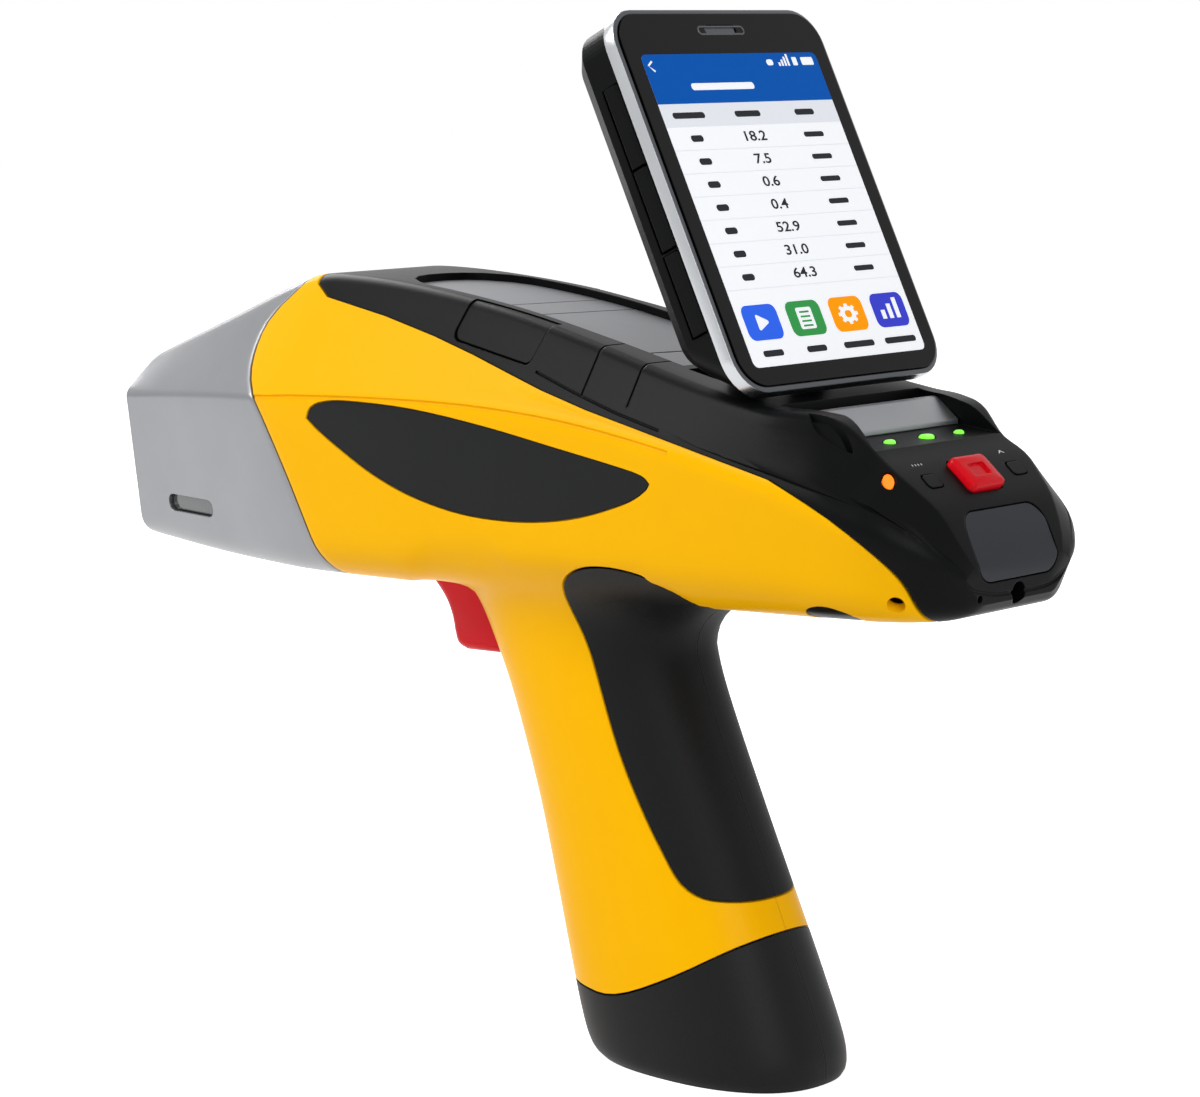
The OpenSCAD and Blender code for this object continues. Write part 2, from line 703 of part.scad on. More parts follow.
back_z = hinge_sink + 0.3;
frame_z = back_z + display_back_t;
glass_z = frame_z + display_frame_t - 1;
display_foot = 5.6;
display_mid = display_foot - display_h / 2;
display_edge = 4.2;
heel = 12;
display_corner = 9;
glass_t = 1.5;
frame_lip = 1.4;
knuckle_ys = [-11, 11];
knuckle_w = 7;
shell_t = 1.8;
side_keys = [[-61.5, 19.2], [-41.6, 19.2], [-21.2, 19.2]];
side_key_h = 4.8;
side_key_z = frame_z - 3.3;
side_key_rise = 0.6;
side_key_depth = 3;
side_key_bevel = 0.8;

// Plate of the display's outline, moved inwards by inset, between two heights
module display_plate(inset, z0, z1) translate([display_mid, 0, z0]) linear_extrude(z1 - z0)
  round_rect(display_h - inset * 2, display_w - inset * 2, display_corner - min(inset, 5));

module side_key_slot(k, gap) translate([k[0], -display_w / 2, side_key_z])
  cube([k[1] + gap * 2, 10, side_key_h + gap * 2], center = true);

module display_back() color("#222426") in_display() difference() {
  union() {
    difference() {
      housing_form(0, 0);
      translate([0, 0, shell_t]) housing_form(shell_t, 1);
    }
    for (y = knuckle_ys) knuckle(y);
  }
  rotate([90, 0, 0]) cylinder(h = well_half * 2, r = hinge_pin_d / 2 + running, center = true);
  for (k = side_keys) side_key_slot(k, button_gap);
}

// Slab of the housing between its lower and upper edges
module housing_slab(low, inset, corner, z, t) translate([(low + high(inset)) / 2, 0, z]) linear_extrude(t)
  round_rect(low - high(inset), display_w - inset * 2, corner);
function high(inset) = display_foot - display_h + inset;
// Lower edge of the housing, which slopes back to clear the roof
function heel_x(z) = lerp(display_foot - 1, display_foot - heel, (frame_z - z) / display_back_t);

module housing_form(inset, grow) hull() {
  housing_slab(heel_x(frame_z) - inset, 1 + inset, display_corner - 1, frame_z - 0.5, 0.5 + grow);
  housing_slab(heel_x(back_z + display_edge) - inset * 1.4, 1 + inset, display_corner - 1, back_z + display_edge, 0.5);
  housing_slab(heel_x(back_z) - inset * 1.4, display_edge + inset, display_corner - 3, back_z, 0.5);
}

// Arm from the housing down to the hinge pin
module knuckle(y) translate([0, y + knuckle_w / 2, 0]) rotate([90, 0, 0]) linear_extrude(knuckle_w) {
  circle(knuckle_r);
  polygon([[-knuckle_r, 0], [knuckle_r, 0], [3, 7.8], [-4, back_z + 1], [-14, back_z + 1], [-14, back_z]]);
}

module display_frame() color("#b9bbbd") in_display() difference() {
  display_plate(0, frame_z, frame_z + display_frame_t);
  display_plate(frame_lip, glass_z, far);
  display_plate(frame_lip + 1.4, 0, far);
}

module display_glass() color("#0b0b0c") in_display() difference() {
  display_plate(frame_lip + 0.15, glass_z, glass_z + glass_t);
  translate([earpiece_x, 0, glass_z - 1]) linear_extrude(glass_t + 2) round_rect(2.4, 11, 1.1);
}

earpiece_x = display_foot - display_h + 5.6;
module earpiece() color("#3b3d40") in_display() translate([earpiece_x, 0, glass_z])
  linear_extrude(glass_t - 0.5) round_rect(2.2, 10.8, 1);

screen_x = display_foot - 9.2 - screen_h / 2;
panel_t = 1.2;
module screen_panel() color("#f7f8fb") in_display() translate([screen_x, 0, glass_z - panel_t - 0.05])
  linear_extrude(panel_t) square([screen_h, screen_w], center = true);

module display_board() color("darkgreen") in_display() {
  translate([display_mid - 2, 0, back_z + shell_t + 2.2]) linear_extrude(1.2) square([70, 46], center = true);
  for (x = [-30, 30], y = [-20, 20]) translate([display_mid - 2 + x, y, back_z + shell_t + 0.05])
    cylinder(h = 2.1, r = 2);
}

module display_battery() color("#4b5157") in_display()
  translate([display_mid - 2, 0, back_z + shell_t + 3.6]) linear_extrude(3.6) square([60, 42], center = true);

module side_key(k) in_display()
  translate([k[0], 1 - side_key_rise - display_w / 2, side_key_z]) rotate([0, 90, 0])
    linear_extrude(k[1], center = true) polygon([[-side_key_h / 2, side_key_depth],
      [-side_key_h / 2, side_key_bevel], [side_key_bevel - side_key_h / 2, 0],
      [side_key_h / 2 - side_key_bevel, 0], [side_key_h / 2, side_key_bevel], [side_key_h / 2, side_key_depth]]);
module upper_side_key() color("#17181a") side_key(side_keys[0]);
module middle_side_key() color("#17181a") side_key(side_keys[1]);
module lower_side_key() color("#17181a") side_key(side_keys[2]);

// --- Display hinge --------------------------------------------------------------------

ear_t = 3;
ear_ys = [-well_half + 2.2, well_half - 2.2 - ear_t];
module at_hinge() translate([hinge_x, 0, hinge_z]) children();
module hinge_bracket() color("#6d7073") difference() {
  union() {
    translate([hinge_x - 8, -well_half + 1, well_floor + well_plate_t + 0.1])
      cube([20, well_half * 2 - 2, 1.2]);
    for (y = ear_ys) at_hinge() translate([0, y + ear_t, 0]) rotate([90, 0, 0]) linear_extrude(ear_t) {
      circle(knuckle_r);
      polygon([[-knuckle_r, 0], [-7, -knuckle_r - 1], [9, -knuckle_r - 1], [knuckle_r, 0]]);
    }
  }
  at_hinge() rotate([90, 0, 0]) cylinder(h = far, r = hinge_pin_d / 2, center = true);
}
module hinge_pin() color("silver") at_hinge() rotate([90, 0, 0])
  cylinder(h = well_half * 2 - 3, r = hinge_pin_d / 2, center = true);

// --- Trigger ------------------------------------------------------------------------

module at_trigger() translate([trigger_pivot[0], 0, trigger_pivot[1]]) children();
trigger_front = spline([[-31, -4.6], [-26.5, -8], [-22.8, -12], [-20.8, -16], [-19.8, -20], [-18.6, -22.6], [-15.5, -23.8]], 2);
module trigger() color("#d0101c") at_trigger() difference() {
  across(-trigger_w / 2, trigger_w / 2)
    polygon(concat(trigger_front, [[-5, -23.4], [2.5, -21.5], [4, -12], [3.8, 2], [0, 4], [-10, 3.4], [-28, -1.4]]));
  rotate([90, 0, 0]) cylinder(h = far, r = trigger_pin_d / 2 + running, center = true);
}
module trigger_pin() color("silver") at_trigger() rotate([90, 0, 0])
  cylinder(h = (rib_y + rib_t) * 2, r = trigger_pin_d / 2, center = true);

// Torsion spring round the pin, between the trigger and the left rib
module trigger_spring() color("silver") at_trigger() rotate([90, 0, 0]) translate([0, 0, trigger_w / 2 + 0.1])
  difference() {
    cylinder(h = spring_w, r = trigger_pin_d / 2 + 1.2);
    translate([0, 0, -1]) cylinder(h = spring_w + 2, r = trigger_pin_d / 2 + 0.3);
  }

bracket_t = 2.5;
switch_size = [6, 10, 12];
bracket_x = 21.5 * sin(trigger_swing) + switch_size[0] + 3.4;
bracket_half = (handle_side(trigger_pivot[1] - 22) - wall) * 0.89;
module trigger_bracket() color("#2b2b2b") at_trigger() translate([bracket_x, -bracket_half, -22])
  cube([bracket_t, bracket_half * 2, 15]);
module trigger_switch() color("#333333") at_trigger()
  translate([bracket_x - switch_size[0] - 0.02, -switch_size[1] / 2, -20]) cube(switch_size);

// --- Inside the body -------------------------------------------------------------------

chassis_t = 1.6;
chassis_top = chassis_z + chassis_t;
chassis_front = along(-104);
chassis_back = along(117);
chassis_w = wide(44);
module chassis() color("silver") translate([0, 0, chassis_z]) linear_extrude(chassis_t) difference() {
  translate([chassis_front, -chassis_w / 2]) square([chassis_back - chassis_front, chassis_w]);
  translate([trigger_pivot[0], 0]) square([16, trigger_w + 4], center = true);
}

beam_angle = 14;
beam_start = 34;
tube_len = 54;
detector_len = 34;
// Axis from the measuring spot, swung to one side
module beam(side) translate([-nose_reach, 0, window_z]) rotate([0, 0, side * beam_angle]) rotate([0, 90, 0]) children();

block_x = along(-100);
block_len = 12;
block_w = 42;
wheel_ring = 11.5;
wheel_axis_y = -(block_x - 6.5 + nose_reach) * tan(beam_angle);
wheel_axis_z = window_z + wheel_ring;
motor_r = 4;
shaft_r = 1;
wheel_x = block_x - 7.3;
wheel_t = 1.6;

module nose_block() color("#8d9093") difference() {
  translate([block_x, -block_w / 2, chassis_top]) cube([block_len, block_w, window_z + 17.5 - chassis_top]);
  beam(-1) cylinder(h = far, r = tube_d / 2 + 0.1);
  beam(1) cylinder(h = far, r = detector_d / 2 + 0.1);
  translate([block_x - 1, wheel_axis_y, wheel_axis_z]) rotate([0, 90, 0]) cylinder(h = far, r = motor_r + 0.1);
}

module xray_tube() color("#b08d57") beam(-1) {
  translate([0, 0, beam_start]) cylinder(h = tube_len, r = tube_d / 2);
  translate([0, 0, beam_start - 4]) cylinder(h = 4, r = tube_d / 2 - 2.5);
}
module detector() color("#c9cbce") beam(1) {
  translate([0, 0, beam_start]) cylinder(h = detector_len, r = detector_d / 2);
  translate([0, 0, beam_start - 4]) cylinder(h = 4, r = detector_d / 2 - 2);
}
module at_wheel() translate([wheel_x, wheel_axis_y, wheel_axis_z]) rotate([0, 90, 0]) children();
module filter_motor() color("#55585c") at_wheel() {
  translate([0, 0, block_x - wheel_x - 0.6]) cylinder(h = 15, r = motor_r);
  translate([0, 0, -0.5]) cylinder(h = block_x - wheel_x, r = shaft_r);
}
module filter_wheel() color("#b9a15a") at_wheel() difference() {
  union() {
    cylinder(h = wheel_t, r = wheel_d / 2);
    cylinder(h = wheel_t + 2, r = 3);
  }
  cylinder(h = 20, r = shaft_r + running, center = true);
  for (i = [0:filters - 1]) rotate([0, 0, i * 360 / filters]) translate([wheel_ring, 0, 0])
    cylinder(h = 20, r = 2.2, center = true);
}

supply_front = along(43);
supply_back = along(95);
supply_w = chassis_w;
supply_top = well_floor - wall - 0.9;
module high_voltage_supply() color("#9a9ca0") translate([supply_front, -supply_w / 2, chassis_top])
  cube([supply_back - supply_front, supply_w, supply_top - chassis_top]);

board_t = 1.6;
board_z = chassis_top + 25;
board_size = [52, 40];
board_x = along(-24);
post_r = 2;
module main_board() color("darkgreen") {
  translate([board_x, -board_size[1] / 2, board_z]) cube([board_size[0], board_size[1], board_t]);
  for (x = [4, board_size[0] - 4], y = [-1, 1])
    translate([board_x + x, y * (board_size[1] / 2 - 4), chassis_top]) cylinder(h = board_z - chassis_top, r = post_r);
}

fin_count = 7;
fin_pitch = 4.6;
module heat_sink() color("#a9adb1") translate([board_x + 4, 0, board_z + board_t]) {
  translate([0, -fin_pitch * fin_count / 2, 0]) cube([44, fin_pitch * fin_count, 2]);
  for (i = [0:fin_count - 1]) translate([0, (i + 0.3 - fin_count / 2) * fin_pitch, 2]) cube([44, 1.6, 6]);
}

control_place = 112;
control_drop = 8.2 + key_travel;
module control_board() color("darkgreen") on_roof(control_place) {
  translate([-10, -18, -control_drop]) cube([18, 36, board_t]);
  for (y = [-9, 9]) translate([-2, y, -control_drop + board_t]) cylinder(h = control_drop - board_t - wall - 0.4, r = post_r);
}

port_x = chassis_back - board_t;
port_board_h = 15;
module port_board() color("darkgreen") translate([port_x, -15, chassis_top]) cube([board_t, 30, port_board_h]);

// Two data sockets behind the flap
socket_ys = [-7, 7];
socket_size = [9.2, 9, 3.4];
socket_z = flap_z - 1;
module data_sockets() color("#b5b8bb") for (y = socket_ys)
  translate([port_x + board_t + 0.02, y - socket_size[1] / 2, socket_z - socket_size[2] / 2]) cube(socket_size);

// Round socket for the charger, fixed to the port board
module power_jack() color("#101010") {
  difference() {
    translate([port_x + board_t + 0.05, jack_y, jack_z]) rotate([0, 90, 0])
      cylinder(h = tail_reach - 4.5 - port_x - board_t, r = jack_r - 0.2);
    translate([port_x + board_t + 4, jack_y, jack_z]) rotate([0, 90, 0]) cylinder(h = far, r = 2.75);
  }
  translate([port_x + board_t + 3, jack_y, jack_z]) rotate([0, 90, 0]) cylinder(h = 6, r = 1.05);
  translate([port_x + board_t + 0.05, jack_y - 4, jack_z - 2]) cube([3, 8, 6]);
}

module underside_lens() color("#15161a") for (side = [-1, 1]) intersection() {
  translate([lens_x, side * wide(21), above(0)]) scale([1.9, 1, 1]) cylinder(h = 20, r = 3.25, center = true);
  difference() {
    body(0.6, 80, 120);
    body(wall, 80, 120);
  }
}

screw_len = 20;
module shell_screws() color("#77797c") for (p = boss_places)
  translate([p[0], floor_y(p[0]) - head_sink, p[1]]) rotate([90, 0, 0]) {
    translate([0, 0, -2]) cylinder(h = 1.98, r = screw_head_r - 0.1);
    translate([0, 0, -0.1]) cylinder(h = floor_y(p[0]) - head_sink + screw_len, r = screw_r - 0.08);
  }

nose_cover();
window_plate();
window_film();
warning_lights();
left_shell();
right_shell();
left_badge();
right_badge();
top_cover();
deck_inlay();
hinge_well_plate();
hinge_bar();
hinge_bracket();
hinge_pin();
status_lights();
side_lights();
left_grip();
right_grip();
chassis();
nose_block();
xray_tube();
detector();
filter_motor();
filter_wheel();
high_voltage_supply();
main_board();
heat_sink();
control_board();
port_board();
power_jack();
battery_contacts();
trigger();
trigger_pin();
trigger_spring();
trigger_switch();
trigger_bracket();
power_button();
left_key();
right_key();
left_latch();
right_latch();
port_flap();
data_sockets();
underside_lens();
shell_screws();
display_back();
display_frame();
display_glass();
screen_panel();
display_board();
display_battery();
earpiece();
upper_side_key();
middle_side_key();
lower_side_key();
battery_pack();
left_foot();
right_foot();
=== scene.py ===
"""Handheld X-ray fluorescence analyzer on a pale studio floor.

Lengths are in millimetres in the analyzer's own frame: nose towards -X, left side at -Y, foot on Z = 0.
"""
import math
import bpy
import bmesh
from mathutils import Vector, Matrix


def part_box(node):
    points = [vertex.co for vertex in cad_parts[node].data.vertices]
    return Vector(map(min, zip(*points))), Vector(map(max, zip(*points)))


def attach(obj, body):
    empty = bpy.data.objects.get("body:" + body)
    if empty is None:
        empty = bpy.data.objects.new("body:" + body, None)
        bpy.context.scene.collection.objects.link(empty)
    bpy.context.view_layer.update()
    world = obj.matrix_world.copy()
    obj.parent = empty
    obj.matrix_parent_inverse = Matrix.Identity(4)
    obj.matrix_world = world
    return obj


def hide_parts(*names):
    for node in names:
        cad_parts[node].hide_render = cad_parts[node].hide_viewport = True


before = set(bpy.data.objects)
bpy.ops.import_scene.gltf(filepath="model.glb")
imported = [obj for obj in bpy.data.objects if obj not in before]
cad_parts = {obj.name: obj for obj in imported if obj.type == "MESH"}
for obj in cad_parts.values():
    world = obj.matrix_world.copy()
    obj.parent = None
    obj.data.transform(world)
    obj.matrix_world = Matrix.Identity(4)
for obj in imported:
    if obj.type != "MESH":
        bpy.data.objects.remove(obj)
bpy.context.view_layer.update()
MM = 0.001

# --- Camera -----------------------------------------------------------------------
# Long lens behind the analyzer on its left side, a little above the middle of the body.
# It is far enough away for the handle and the display to keep their true proportions.
AZIMUTH, ELEVATION = math.radians(42), math.radians(8.5)
FOCUS = Vector((8.3, 0, 119.2)) * MM
DISTANCE = 0.8656
away = Vector((math.sin(AZIMUTH) * math.cos(ELEVATION), -math.cos(AZIMUTH) * math.cos(ELEVATION),
               math.sin(ELEVATION)))
camera_data = bpy.data.cameras.new("camera")
camera_data.lens = 108
camera_data.sensor_width = 36
camera = bpy.data.objects.new("camera", camera_data)
camera.location = FOCUS + away * DISTANCE
camera.rotation_euler = away.to_track_quat("Z", "Y").to_euler()
bpy.context.scene.collection.objects.link(camera)
bpy.context.scene.camera = camera

# --- Nose cover ---------------------------------------------------------------------
# Thin-walled moulding that closes the front of the body, painted in satin silver, with a window
# for the beam in its face and a warning light in a slot on each side. Screws hold it to the shells.
UNDER = 110
NOSE_END, TAIL_END = -131, 131
# Body sections: place along X; heights of floor, crease and roof above the underside; half-widths there;
# and corner radii there.
SECTIONS = [
    [-131, 2, 39.5, 47.5, 23.6, 28.8, 19, 6, 3, 3],
    [-127.5, 1.4, 39.5, 49.5, 24, 29.2, 19.2, 7, 3, 3.5],
    [-100, 0, 41.5, 60.5, 28, 32.6, 19.2, 8, 3.5, 4],
    [-72, -0.8, 43, 71.5, 31.6, 36.2, 19.5, 10, 4, 4.5],
    [-60, -0.8, 44, 73, 32.6, 37, 20.5, 11, 5, 4.5],
    [-30, -0.2, 45.5, 71.5, 33.4, 37.8, 22, 13, 7, 4.5],
    [0, 0.3, 46, 67.8, 33.6, 38, 24, 15, 7, 4],
    [30, 1.3, 44.5, 62, 33.6, 38, 26.5, 15, 7, 4],
    [60, 3, 40.5, 55.5, 33.2, 38, 29.5, 15, 7, 4],
    [85, 4.3, 35.5, 51.2, 32.2, 37.8, 31, 14, 7, 3.5],
    [95, 4.8, 33.5, 50.5, 31.4, 37.6, 28.5, 13, 7, 3],
    [102, 5.2, 32, 48.8, 30.6, 37.4, 26, 12, 7, 2.5],
    [109, 5.6, 30, 43, 29.4, 37, 23.5, 11, 7, 2],
    [115, 6, 28, 39.2, 27.6, 36, 24.2, 10, 7, 2],
    [120, 6.4, 26, 35.2, 25, 34, 22.6, 9, 6, 2],
    [125, 7, 23.5, 30.4, 21.5, 30.2, 20.6, 8, 4, 2],
    [129, 8.4, 20, 23.5, 17, 25, 18.6, 6, 2, 1.5],
    [131, 10.5, 17, 19, 13.5, 20, 16.5, 4, 1, 0.8],
]
SPLITS = (7, 7, 10, 6, 8, 6, 8)
HALF_ROWS = sum(SPLITS) + 1
ROWS = 2 * HALF_ROWS - 2
SEAM_GAP, LIP, WALL = 0.5, 0.45, 2.4


def column(table, k, x):
    """Smooth value of column k at x, through the rows of a table."""
    x = min(max(x, table[0][0]), table[-1][0])
    i = 0
    while i < len(table) - 2 and x >= table[i + 1][0]:
        i += 1
    slopes = []
    for j in (i, i + 1):
        a, b = max(j - 1, 0), min(j + 1, len(table) - 1)
        slopes.append((table[b][k] - table[a][k]) / (table[b][0] - table[a][0]))
    span = table[i + 1][0] - table[i][0]
    u = (x - table[i][0]) / span
    return (table[i][k] * (1 + 2 * u) * (1 - u) ** 2 + slopes[0] * span * u * (1 - u) ** 2
            + table[i + 1][k] * u * u * (3 - 2 * u) - slopes[1] * span * u * u * (1 - u))


def half_outline(x):
    """Points (y, z) of the section at x, from the middle of the floor to the middle of the roof."""
    floor, crease, roof, floor_w, crease_w, roof_w, *radii = [column(SECTIONS, k, x) for k in range(1, 10)]
    path = [Vector(p) for p in ((0, floor), (floor_w, floor), (crease_w, crease), (roof_w, roof), (0, roof))]
    points = [path[0]]
    for i, radius in enumerate(radii):
        before, corner, after = path[i:i + 3]
        back, on = (before - corner).normalized(), (after - corner).normalized()
        half = back.angle(on) / 2
        reach = min(radius / math.tan(half), 0.46 * (before - corner).length, 0.46 * (after - corner).length)
        centre = corner + (back + on).normalized() * (reach / math.cos(half))
        start, end = corner + back * reach, corner + on * reach
        straight, arc = SPLITS[2 * i], SPLITS[2 * i + 1]
        first = points[-1]
        points += [first.lerp(start, (j + 1) / straight) for j in range(straight)]
        points += [centre + (start - centre).slerp(end - centre, (j + 1) / arc) * (start - centre).length
                   for j in range(arc)]
    first = points[-1]
    points += [first.lerp(path[-1], (j + 1) / SPLITS[6]) for j in range(SPLITS[6])]
    return [(p.x, UNDER + p.y) for p in points]


outline_store = {}


def section(x):
    """Ring of points (y, z) round the body at x: up its left side, then down its right."""
    key = round(x, 3)
    if key not in outline_store:
        half = half_outline(x)
        outline_store[key] = [(-y, z) for y, z in half] + [(y, z) for y, z in reversed(half[1:-1])]
    return outline_store[key]


def skin(x, v, inset=0.0):
    """Point on the body's skin in row v, moved inwards by inset."""
    ring = section(x)
    point = Vector((x, *ring[v]))
    if inset:
        low, high = max(x - 0.6, NOSE_END), min(x + 0.6, TAIL_END)
        (y0, z0), (y1, z1) = section(low)[v], section(high)[v]
        before, after = ring[(v - 1) % ROWS], ring[(v + 1) % ROWS]
        along = Vector((high - low, y1 - y0, z1 - z0))
        point -= along.cross(Vector((0, after[0] - before[0], after[1] - before[1]))).normalized() * inset
    return point


def spline(points, n):
    """Open curve through points, with n steps between each pair."""
    made = []
    for i in range(len(points) - 1):
        a, b, c, d = (Vector(points[min(max(i + k, 0), len(points) - 1)]) for k in (-1, 0, 1, 2))
        for j in range(n):
            u = j / n
            made.append(tuple(b + (c - a) / 2 * u + (2 * a - 5 * b + 4 * c - d) / 2 * u * u
                              + (3 * b - a - 3 * c + d) / 2 * u ** 3))
    return made + [tuple(points[-1])]


def above(points):
    """Points (x, height above the underside) as (x, z)."""
    return [(x, UNDER + height) for x, height in points]


NOSE_SEAM = spline(above([(-50, -8), (-53, 0), (-59, 13), (-66, 27), (-75, 42.5), (-80, 48), (-82.5, 55),
                          (-81, 62), (-72, 71), (-68, 80)]), 6)
COVER_SEAM = spline(above([(123, -2), (122.5, 9), (120, 18), (112, 26), (99, 33), (78, 40.5), (50, 45), (25, 50),
                           (-13, 59.5), (-50, 66.4), (-62, 67.8), (-66.5, 70.6), (-67, 80)]), 6)


def seam_crossing(seam, v):
    """Place along X where row v of the skin meets a seam that rises from its first point to its last."""
    low, high = NOSE_END, TAIL_END
    for step in range(34):
        middle = (low + high) / 2
        z = section(middle)[v][1]
        x = seam[-1][0]
        for (x0, z0), (x1, z1) in zip(seam, seam[1:]):
            if z <= z1:
                x = x0 + (x1 - x0) * (z - z0) / (z1 - z0)
                break
        low, high = (middle, high) if middle < x else (low, middle)
    return (low + high) / 2


nose_line = [seam_crossing(NOSE_SEAM, v) for v in range(ROWS)]
cover_line = [seam_crossing(COVER_SEAM, v) for v in range(ROWS)]


def spaced(a, b, count):
    return [a + (b - a) * i / count for i in range(count + 1)]


def lofted(name, rings, joined_up=False):
    """Tube grown from ring to ring, closed flat at both ends or joined up from its last ring to its first."""
    work = bmesh.new()
    ring = bmesh.ops.create_circle(work, segments=len(rings[0]), radius=MM)["verts"]
    edges = work.edges[:]
    first = edges
    for vert, point in zip(ring, rings[0]):
        vert.co = Vector(point) * MM
    for outline in rings[1:] + (rings[:1] if joined_up else []):
        grown = bmesh.ops.extrude_edge_only(work, edges=edges)["geom"]
        fresh = {part for part in grown if isinstance(part, bmesh.types.BMVert)}
        edges = [part for part in grown if isinstance(part, bmesh.types.BMEdge) and set(part.verts) <= fresh]
        ring = [next(e.other_vert(v) for e in v.link_edges if e.other_vert(v) in fresh) for v in ring]
        for vert, point in zip(ring, outline):
            vert.co = Vector(point) * MM
    if not joined_up:
        for end in (first, edges):
            bmesh.ops.edgeloop_fill(work, edges=end)
    bmesh.ops.remove_doubles(work, verts=work.verts, dist=0.002 * MM)
    bmesh.ops.recalc_face_normals(work, faces=work.faces)
    mesh = bpy.data.meshes.new(name)
    work.to_mesh(mesh)
    work.free()
    piece = bpy.data.objects.new(name, mesh)
    bpy.context.scene.collection.objects.link(piece)
    return piece


def cut(target, tool, operation="DIFFERENCE"):
    """Cuts tool from target, or joins or intersects the two, and uses the tool up."""
    change = target.modifiers.new("cut", "BOOLEAN")
    change.operation, change.solver, change.object = operation, "MANIFOLD", tool
    bpy.context.view_layer.update()
    result = bpy.data.meshes.new_from_object(target.evaluated_get(bpy.context.evaluated_depsgraph_get()))
    target.modifiers.remove(change)
    old, target.data = target.data, result
    bpy.data.meshes.remove(old)
    bpy.data.objects.remove(tool)
    return target


def shifted_outline(outline, gap):
    """Closed outline moved outwards by gap, for gaps that are small beside its corners."""
    count = len(outline)
    area = sum(outline[i][0] * outline[(i + 1) % count][1] - outline[(i + 1) % count][0] * outline[i][1]
               for i in range(count))
    side = 1 if area > 0 else -1
    made = []
    for i in range(count):
        before, here, after = (Vector(outline[(i + k) % count]) for k in (-1, 0, 1))
        one, two = (here - before).normalized(), (after - here).normalized()
        normals = Vector((one.y, -one.x)) * side, Vector((two.y, -two.x)) * side
        turn = max(1 + normals[0].dot(normals[1]), 0.4)
        made.append(tuple(here + (normals[0] + normals[1]) * (gap / turn)))
    return made


def rounded_outline(corners, radii, steps=5):
    """Closed outline with each corner rounded."""
    made = []
    for i, corner in enumerate(corners):
        radius = radii[i] if isinstance(radii, (list, tuple)) else radii
        before, corner, after = (Vector(corners[(i + k) % len(corners)]) for k in (-1, 0, 1))
        if radius < 0.01:
            made.append(tuple(corner))
            continue
        back, on = (before - corner).normalized(), (after - corner).normalized()
        half = back.angle(on) / 2
        centre = corner + (back + on).normalized() * (radius / math.sin(half))
        start, end = (corner + way * (radius / math.tan(half)) for way in (back, on))
        made += [tuple(centre + (start - centre).slerp(end - centre, j / steps) * radius) for j in range(steps + 1)]
    return made


def box_outline(long, wide, radii, x=0.0, y=0.0, steps=5):
    """Rounded rectangle about (x, y)."""
    return rounded_outline([(x - long / 2, y - wide / 2), (x + long / 2, y - wide / 2),
                            (x + long / 2, y + wide / 2), (x - long / 2, y + wide / 2)], radii, steps)


def stacked(name, outline, levels, where=Matrix(), joined_up=False):
    """Solid through an outline at several heights, each level a (gap outwards, height), put in its place."""
    piece = lofted(name, [[(x, y, height) for x, y in (shifted_outline(outline, gap) if gap else outline)]
                          for gap, height in levels], joined_up)
    move = where.copy()
    move.translation = where.translation * MM
    piece.data.transform(move)
    return piece


ACROSS = Matrix(((1, 0, 0, 0), (0, 0, -1, 0), (0, 1, 0, 0), (0, 0, 0, 1)))


def across(name, outline, y0, y1):
    """Slab of a side-view outline (x, z) from y0 to y1."""
    return stacked(name, outline, [(0, -y0), (0, -y1)], ACROSS)


def facing(direction, at, up=(0, 0, 1)):
    """Frame at a point, with local Z along direction and local Y as near to up as it can be."""
    z = Vector(direction).normalized()
    x = Vector(up).cross(z).normalized()
    turn = Matrix((x, z.cross(x), z)).transposed().to_4x4()
    turn.translation = Vector(at)
    return turn


def skin_rings(lines):
    """Rings of the skin from one list of points for each row."""
    return [list(ring) for ring in zip(*lines)]


def lipped_row(v, closed_end, seam, count):
    """One row of a moulding that is closed at one end and ends in a rolled lip at a seam."""
    towards = 1 if seam > closed_end else -1
    roll = min(LIP, abs(seam - closed_end) / 3)
    row = [skin(x, v) for x in spaced(closed_end, seam - towards * roll, count)]
    row += [skin(seam - towards * roll * 0.3, v, roll * 0.3), skin(seam, v, roll)]
    return row + [skin(x, v, WALL) for x in spaced(seam, closed_end + towards * WALL, count)]


def srgb(colour):
    """Linear colour from a hex string."""
    parts = [int(colour[i:i + 2], 16) / 255 for i in (1, 3, 5)]
    return [c / 12.92 if c <= 0.04045 else ((c + 0.055) / 1.055) ** 2.4 for c in parts] + [1]


def add(tree, kind, values=None, links=None, **settings):
    """Adds a node with its settings, input values and links."""
    node = tree.nodes.new("ShaderNode" + kind)
    for key, value in settings.items():
        setattr(node, key, value)
    for socket, value in (values or {}).items():
        node.inputs[socket].default_value = value
    for socket, source in (links or {}).items():
        tree.links.new(source, node.inputs[socket])
    return node


